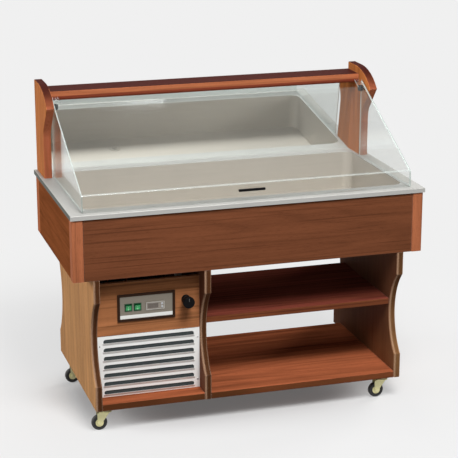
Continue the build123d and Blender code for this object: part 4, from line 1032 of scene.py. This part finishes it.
class CART_OT_casters(bpy.types.Operator):
    """Finish the casters and set a brass disc in each side of each wheel"""

    bl_idname = "cart.casters"
    bl_label = "Casters"

    def execute(self, context):
        tint, sizes = tints(context), context.scene.cart_sizes
        brass = brushed_finish("caster_brass", tint.brass, ALONG_Z, rough=0.36, depth=0.05, metallic=0.4)
        dress(brass, *[f"caster_fork_{place}" for place in CASTERS])
        dress(brushed_finish("caster_plate_steel", tone(150, 142, 112), ALONG_X, rough=0.4), "caster_plates")
        dress(self.tyre(tint.tyre), *[f"caster_wheel_{place}" for place in CASTERS])
        for place in CASTERS:
            self.hub(place, sizes.hub_radius, brass)
        return {"FINISHED"}

    def tyre(self, colour):
        """Rubber with a moulded rib, a scuffed tread and floor dust."""
        made = Finish("tyre_rubber")
        from_middle = made.vector("SUBTRACT", made.place("Generated"), (0.5, 0.5, 0.5))
        radius = made.length(made.vector("MULTIPLY", from_middle, (1.0, 0.0, 1.0)))
        grit = made.mottle(700.0, 3.0)
        dirt = made.mottle(60.0, 4.0, 0.65)
        tread = radius.ramp(0.47, 0.5)
        rib = 1.0 - abs(radius - 0.41).ramp(0.006, 0.014)
        rubber = made.layers(
            colour,
            (dirt.ramp(0.45, 0.8) * 0.35, tone(88, 84, 78)),
            (tread * (0.35 + grit * 0.3), tone(74, 72, 68)),
            (rib * 0.4, tone(66, 66, 64)),
        )
        relief = made.bump(grit * 0.5 + rib, 0.3, 0.0005)
        return made.coat(Base_Color=rubber, Roughness=0.5 + dirt * 0.25, Normal=relief)

    def hub(self, place, radius, material):
        """Two stepped discs in a wheel's recesses."""
        recess, steps = 0.002, 56
        bore, boss, boss_foot = 0.0074, 0.0105, 0.0112
        ring_foot, ring, ring_end = radius - 0.0035, radius - 0.0028, radius - 0.0006
        boss_rise, dish_rise, ring_rise = 0.0017, 0.0010, 0.0016
        name = f"caster_wheel_{place}"
        low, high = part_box(name)
        centre = middle(name)
        profile = (
            (bore, 0.0), (bore, boss_rise), (boss, boss_rise), (boss_foot, dish_rise),
            (ring_foot, dish_rise), (ring, ring_rise), (ring_end, ring_rise),
            (radius, dish_rise), (radius, 0.0),
        )
        out = Matrix.Translation((0.0, 0.0, (high.y - low.y) / 2 - recess))
        mesh = bmesh.new()
        for quarter in (math.pi / 2, -math.pi / 2):
            turned = Matrix.Translation(centre) @ Matrix.Rotation(quarter, 4, "X")
            turn(mesh, profile, turned @ out, steps)
        piece(f"wheel_hub_{place}", mesh, material, f"wheel_{place}", rounding=0.0002)


class CART_OT_stage(bpy.types.Operator):
    """Pale floor, soft lights and the camera"""

    bl_idname = "cart.stage"
    bl_label = "Stage"

    def execute(self, context):
        ground = tints(context).ground
        self.floor(ground)
        self.world(context, ground)
        for lamp in LAMPS:
            self.lamp(*lamp)
        self.camera(context, context.scene.cart_sizes)
        context.scene.view_settings.view_transform = "Standard"
        return {"FINISHED"}

    def floor(self, ground):
        """A wide floor that reads as the background and keeps the cart's shadow."""
        spread, corners, drop = 60.0, 96, 0.0005
        mesh = bmesh.new()
        bmesh.ops.create_circle(mesh, cap_ends=True, segments=corners, radius=spread)
        data = bpy.data.meshes.new("floor")
        mesh.to_mesh(data)
        mesh.free()
        made = Finish("pale_floor")
        dapple = made.mottle(0.7, 3.0)
        paper = made.mix(dapple, shade(ground, 0.80), shade(ground, 0.785))
        # Light that the floor throws back on the cart is dimmer than the floor looks.
        lit = made.shader(
            Base_Color=made.mix(made.light_path("Diffuse"), paper, shade(ground, 0.3)), Roughness=0.9,
        )
        glow = made.node("ShaderNodeEmission", None, {"Color": ground})
        beneath = made.length(made.scaled((1.35, 2.2, 0.0)))
        reach = made.length(made.place())
        clean = beneath.ramp(0.7, 1.25) * 0.5 + reach.ramp(0.8, 2.2) * 0.37 + 0.13
        data.materials.append(made.done(made.mix_shaders(made.looked_at() * clean, lit, glow)))
        floor = bpy.data.objects.new("floor", data)
        bpy.context.scene.collection.objects.link(floor)
        floor.location.z = CAD_BOX[0].z - drop

    def world(self, context, ground):
        """Even light, and the pale background where it is looked at."""
        made = Finish("pale_room", "worlds")
        light = made.node("ShaderNodeBackground", None, {"Color": (1.0, 1.0, 1.0), "Strength": ROOM_LIGHT})
        shown = made.node("ShaderNodeBackground", None, {"Color": ground})
        seen = made.mix_shaders(made.looked_at(), light, shown)
        context.scene.world = made.done(seen, "ShaderNodeOutputWorld")

    def lamp(self, name, stand, aim, size, watts):
        """A square soft lamp."""
        data = bpy.data.lights.new(name, "AREA")
        data.shape = "SQUARE"
        data.size = size
        data.energy = watts
        lamp = bpy.data.objects.new(name, data)
        lamp.location = stand
        lamp.rotation_euler = (Vector(aim) - Vector(stand)).to_track_quat("-Z", "Y").to_euler()
        bpy.context.scene.collection.objects.link(lamp)

    def camera(self, context, sizes):
        """The view from the customer's side."""
        data = bpy.data.cameras.new("view")
        data.sensor_width = 36.0
        data.lens = sizes.lens_length
        data.clip_end = 200.0
        eye = bpy.data.objects.new("view", data)
        eye.location = sizes.eye
        eye.rotation_euler = (math.pi / 2 - sizes.eye_pitch, 0.0, -sizes.eye_yaw)
        context.scene.collection.objects.link(eye)
        context.scene.camera = eye


class CART_PT_panel(bpy.types.Panel):
    """Sizes, colours and steps of the cart"""

    bl_idname = "CART_PT_panel"
    bl_label = "Buffet cart"
    bl_space_type = "VIEW_3D"
    bl_region_type = "UI"
    bl_category = "Cart"

    def draw(self, context):
        for settings in (context.scene.cart_sizes, context.scene.cart_colours):
            box = self.layout.box()
            for name in settings.__annotations__:
                box.prop(settings, name)
        for step in STEPS:
            self.layout.operator(step.bl_idname)


STEPS = (
    CART_OT_stage,
    CART_OT_boards,
    CART_OT_steelwork,
    CART_OT_hood,
    CART_OT_controls,
    CART_OT_cooling_unit,
    CART_OT_casters,
)
CLASSES = (CartColours, CartSizes, *STEPS, CART_PT_panel)


def register():
    for kind in CLASSES:
        bpy.utils.register_class(kind)
    bpy.types.Scene.cart_colours = PointerProperty(type=CartColours)
    bpy.types.Scene.cart_sizes = PointerProperty(type=CartSizes)


def unregister():
    del bpy.types.Scene.cart_sizes
    del bpy.types.Scene.cart_colours
    for kind in reversed(CLASSES):
        bpy.utils.unregister_class(kind)


def main():
    register()
    bpy.ops.cart.stage()
    bpy.ops.cart.boards()
    bpy.ops.cart.steelwork()
    bpy.ops.cart.hood()
    bpy.ops.cart.controls()
    bpy.ops.cart.cooling_unit()
    bpy.ops.cart.casters()


if __name__ == "__main__":
    main()
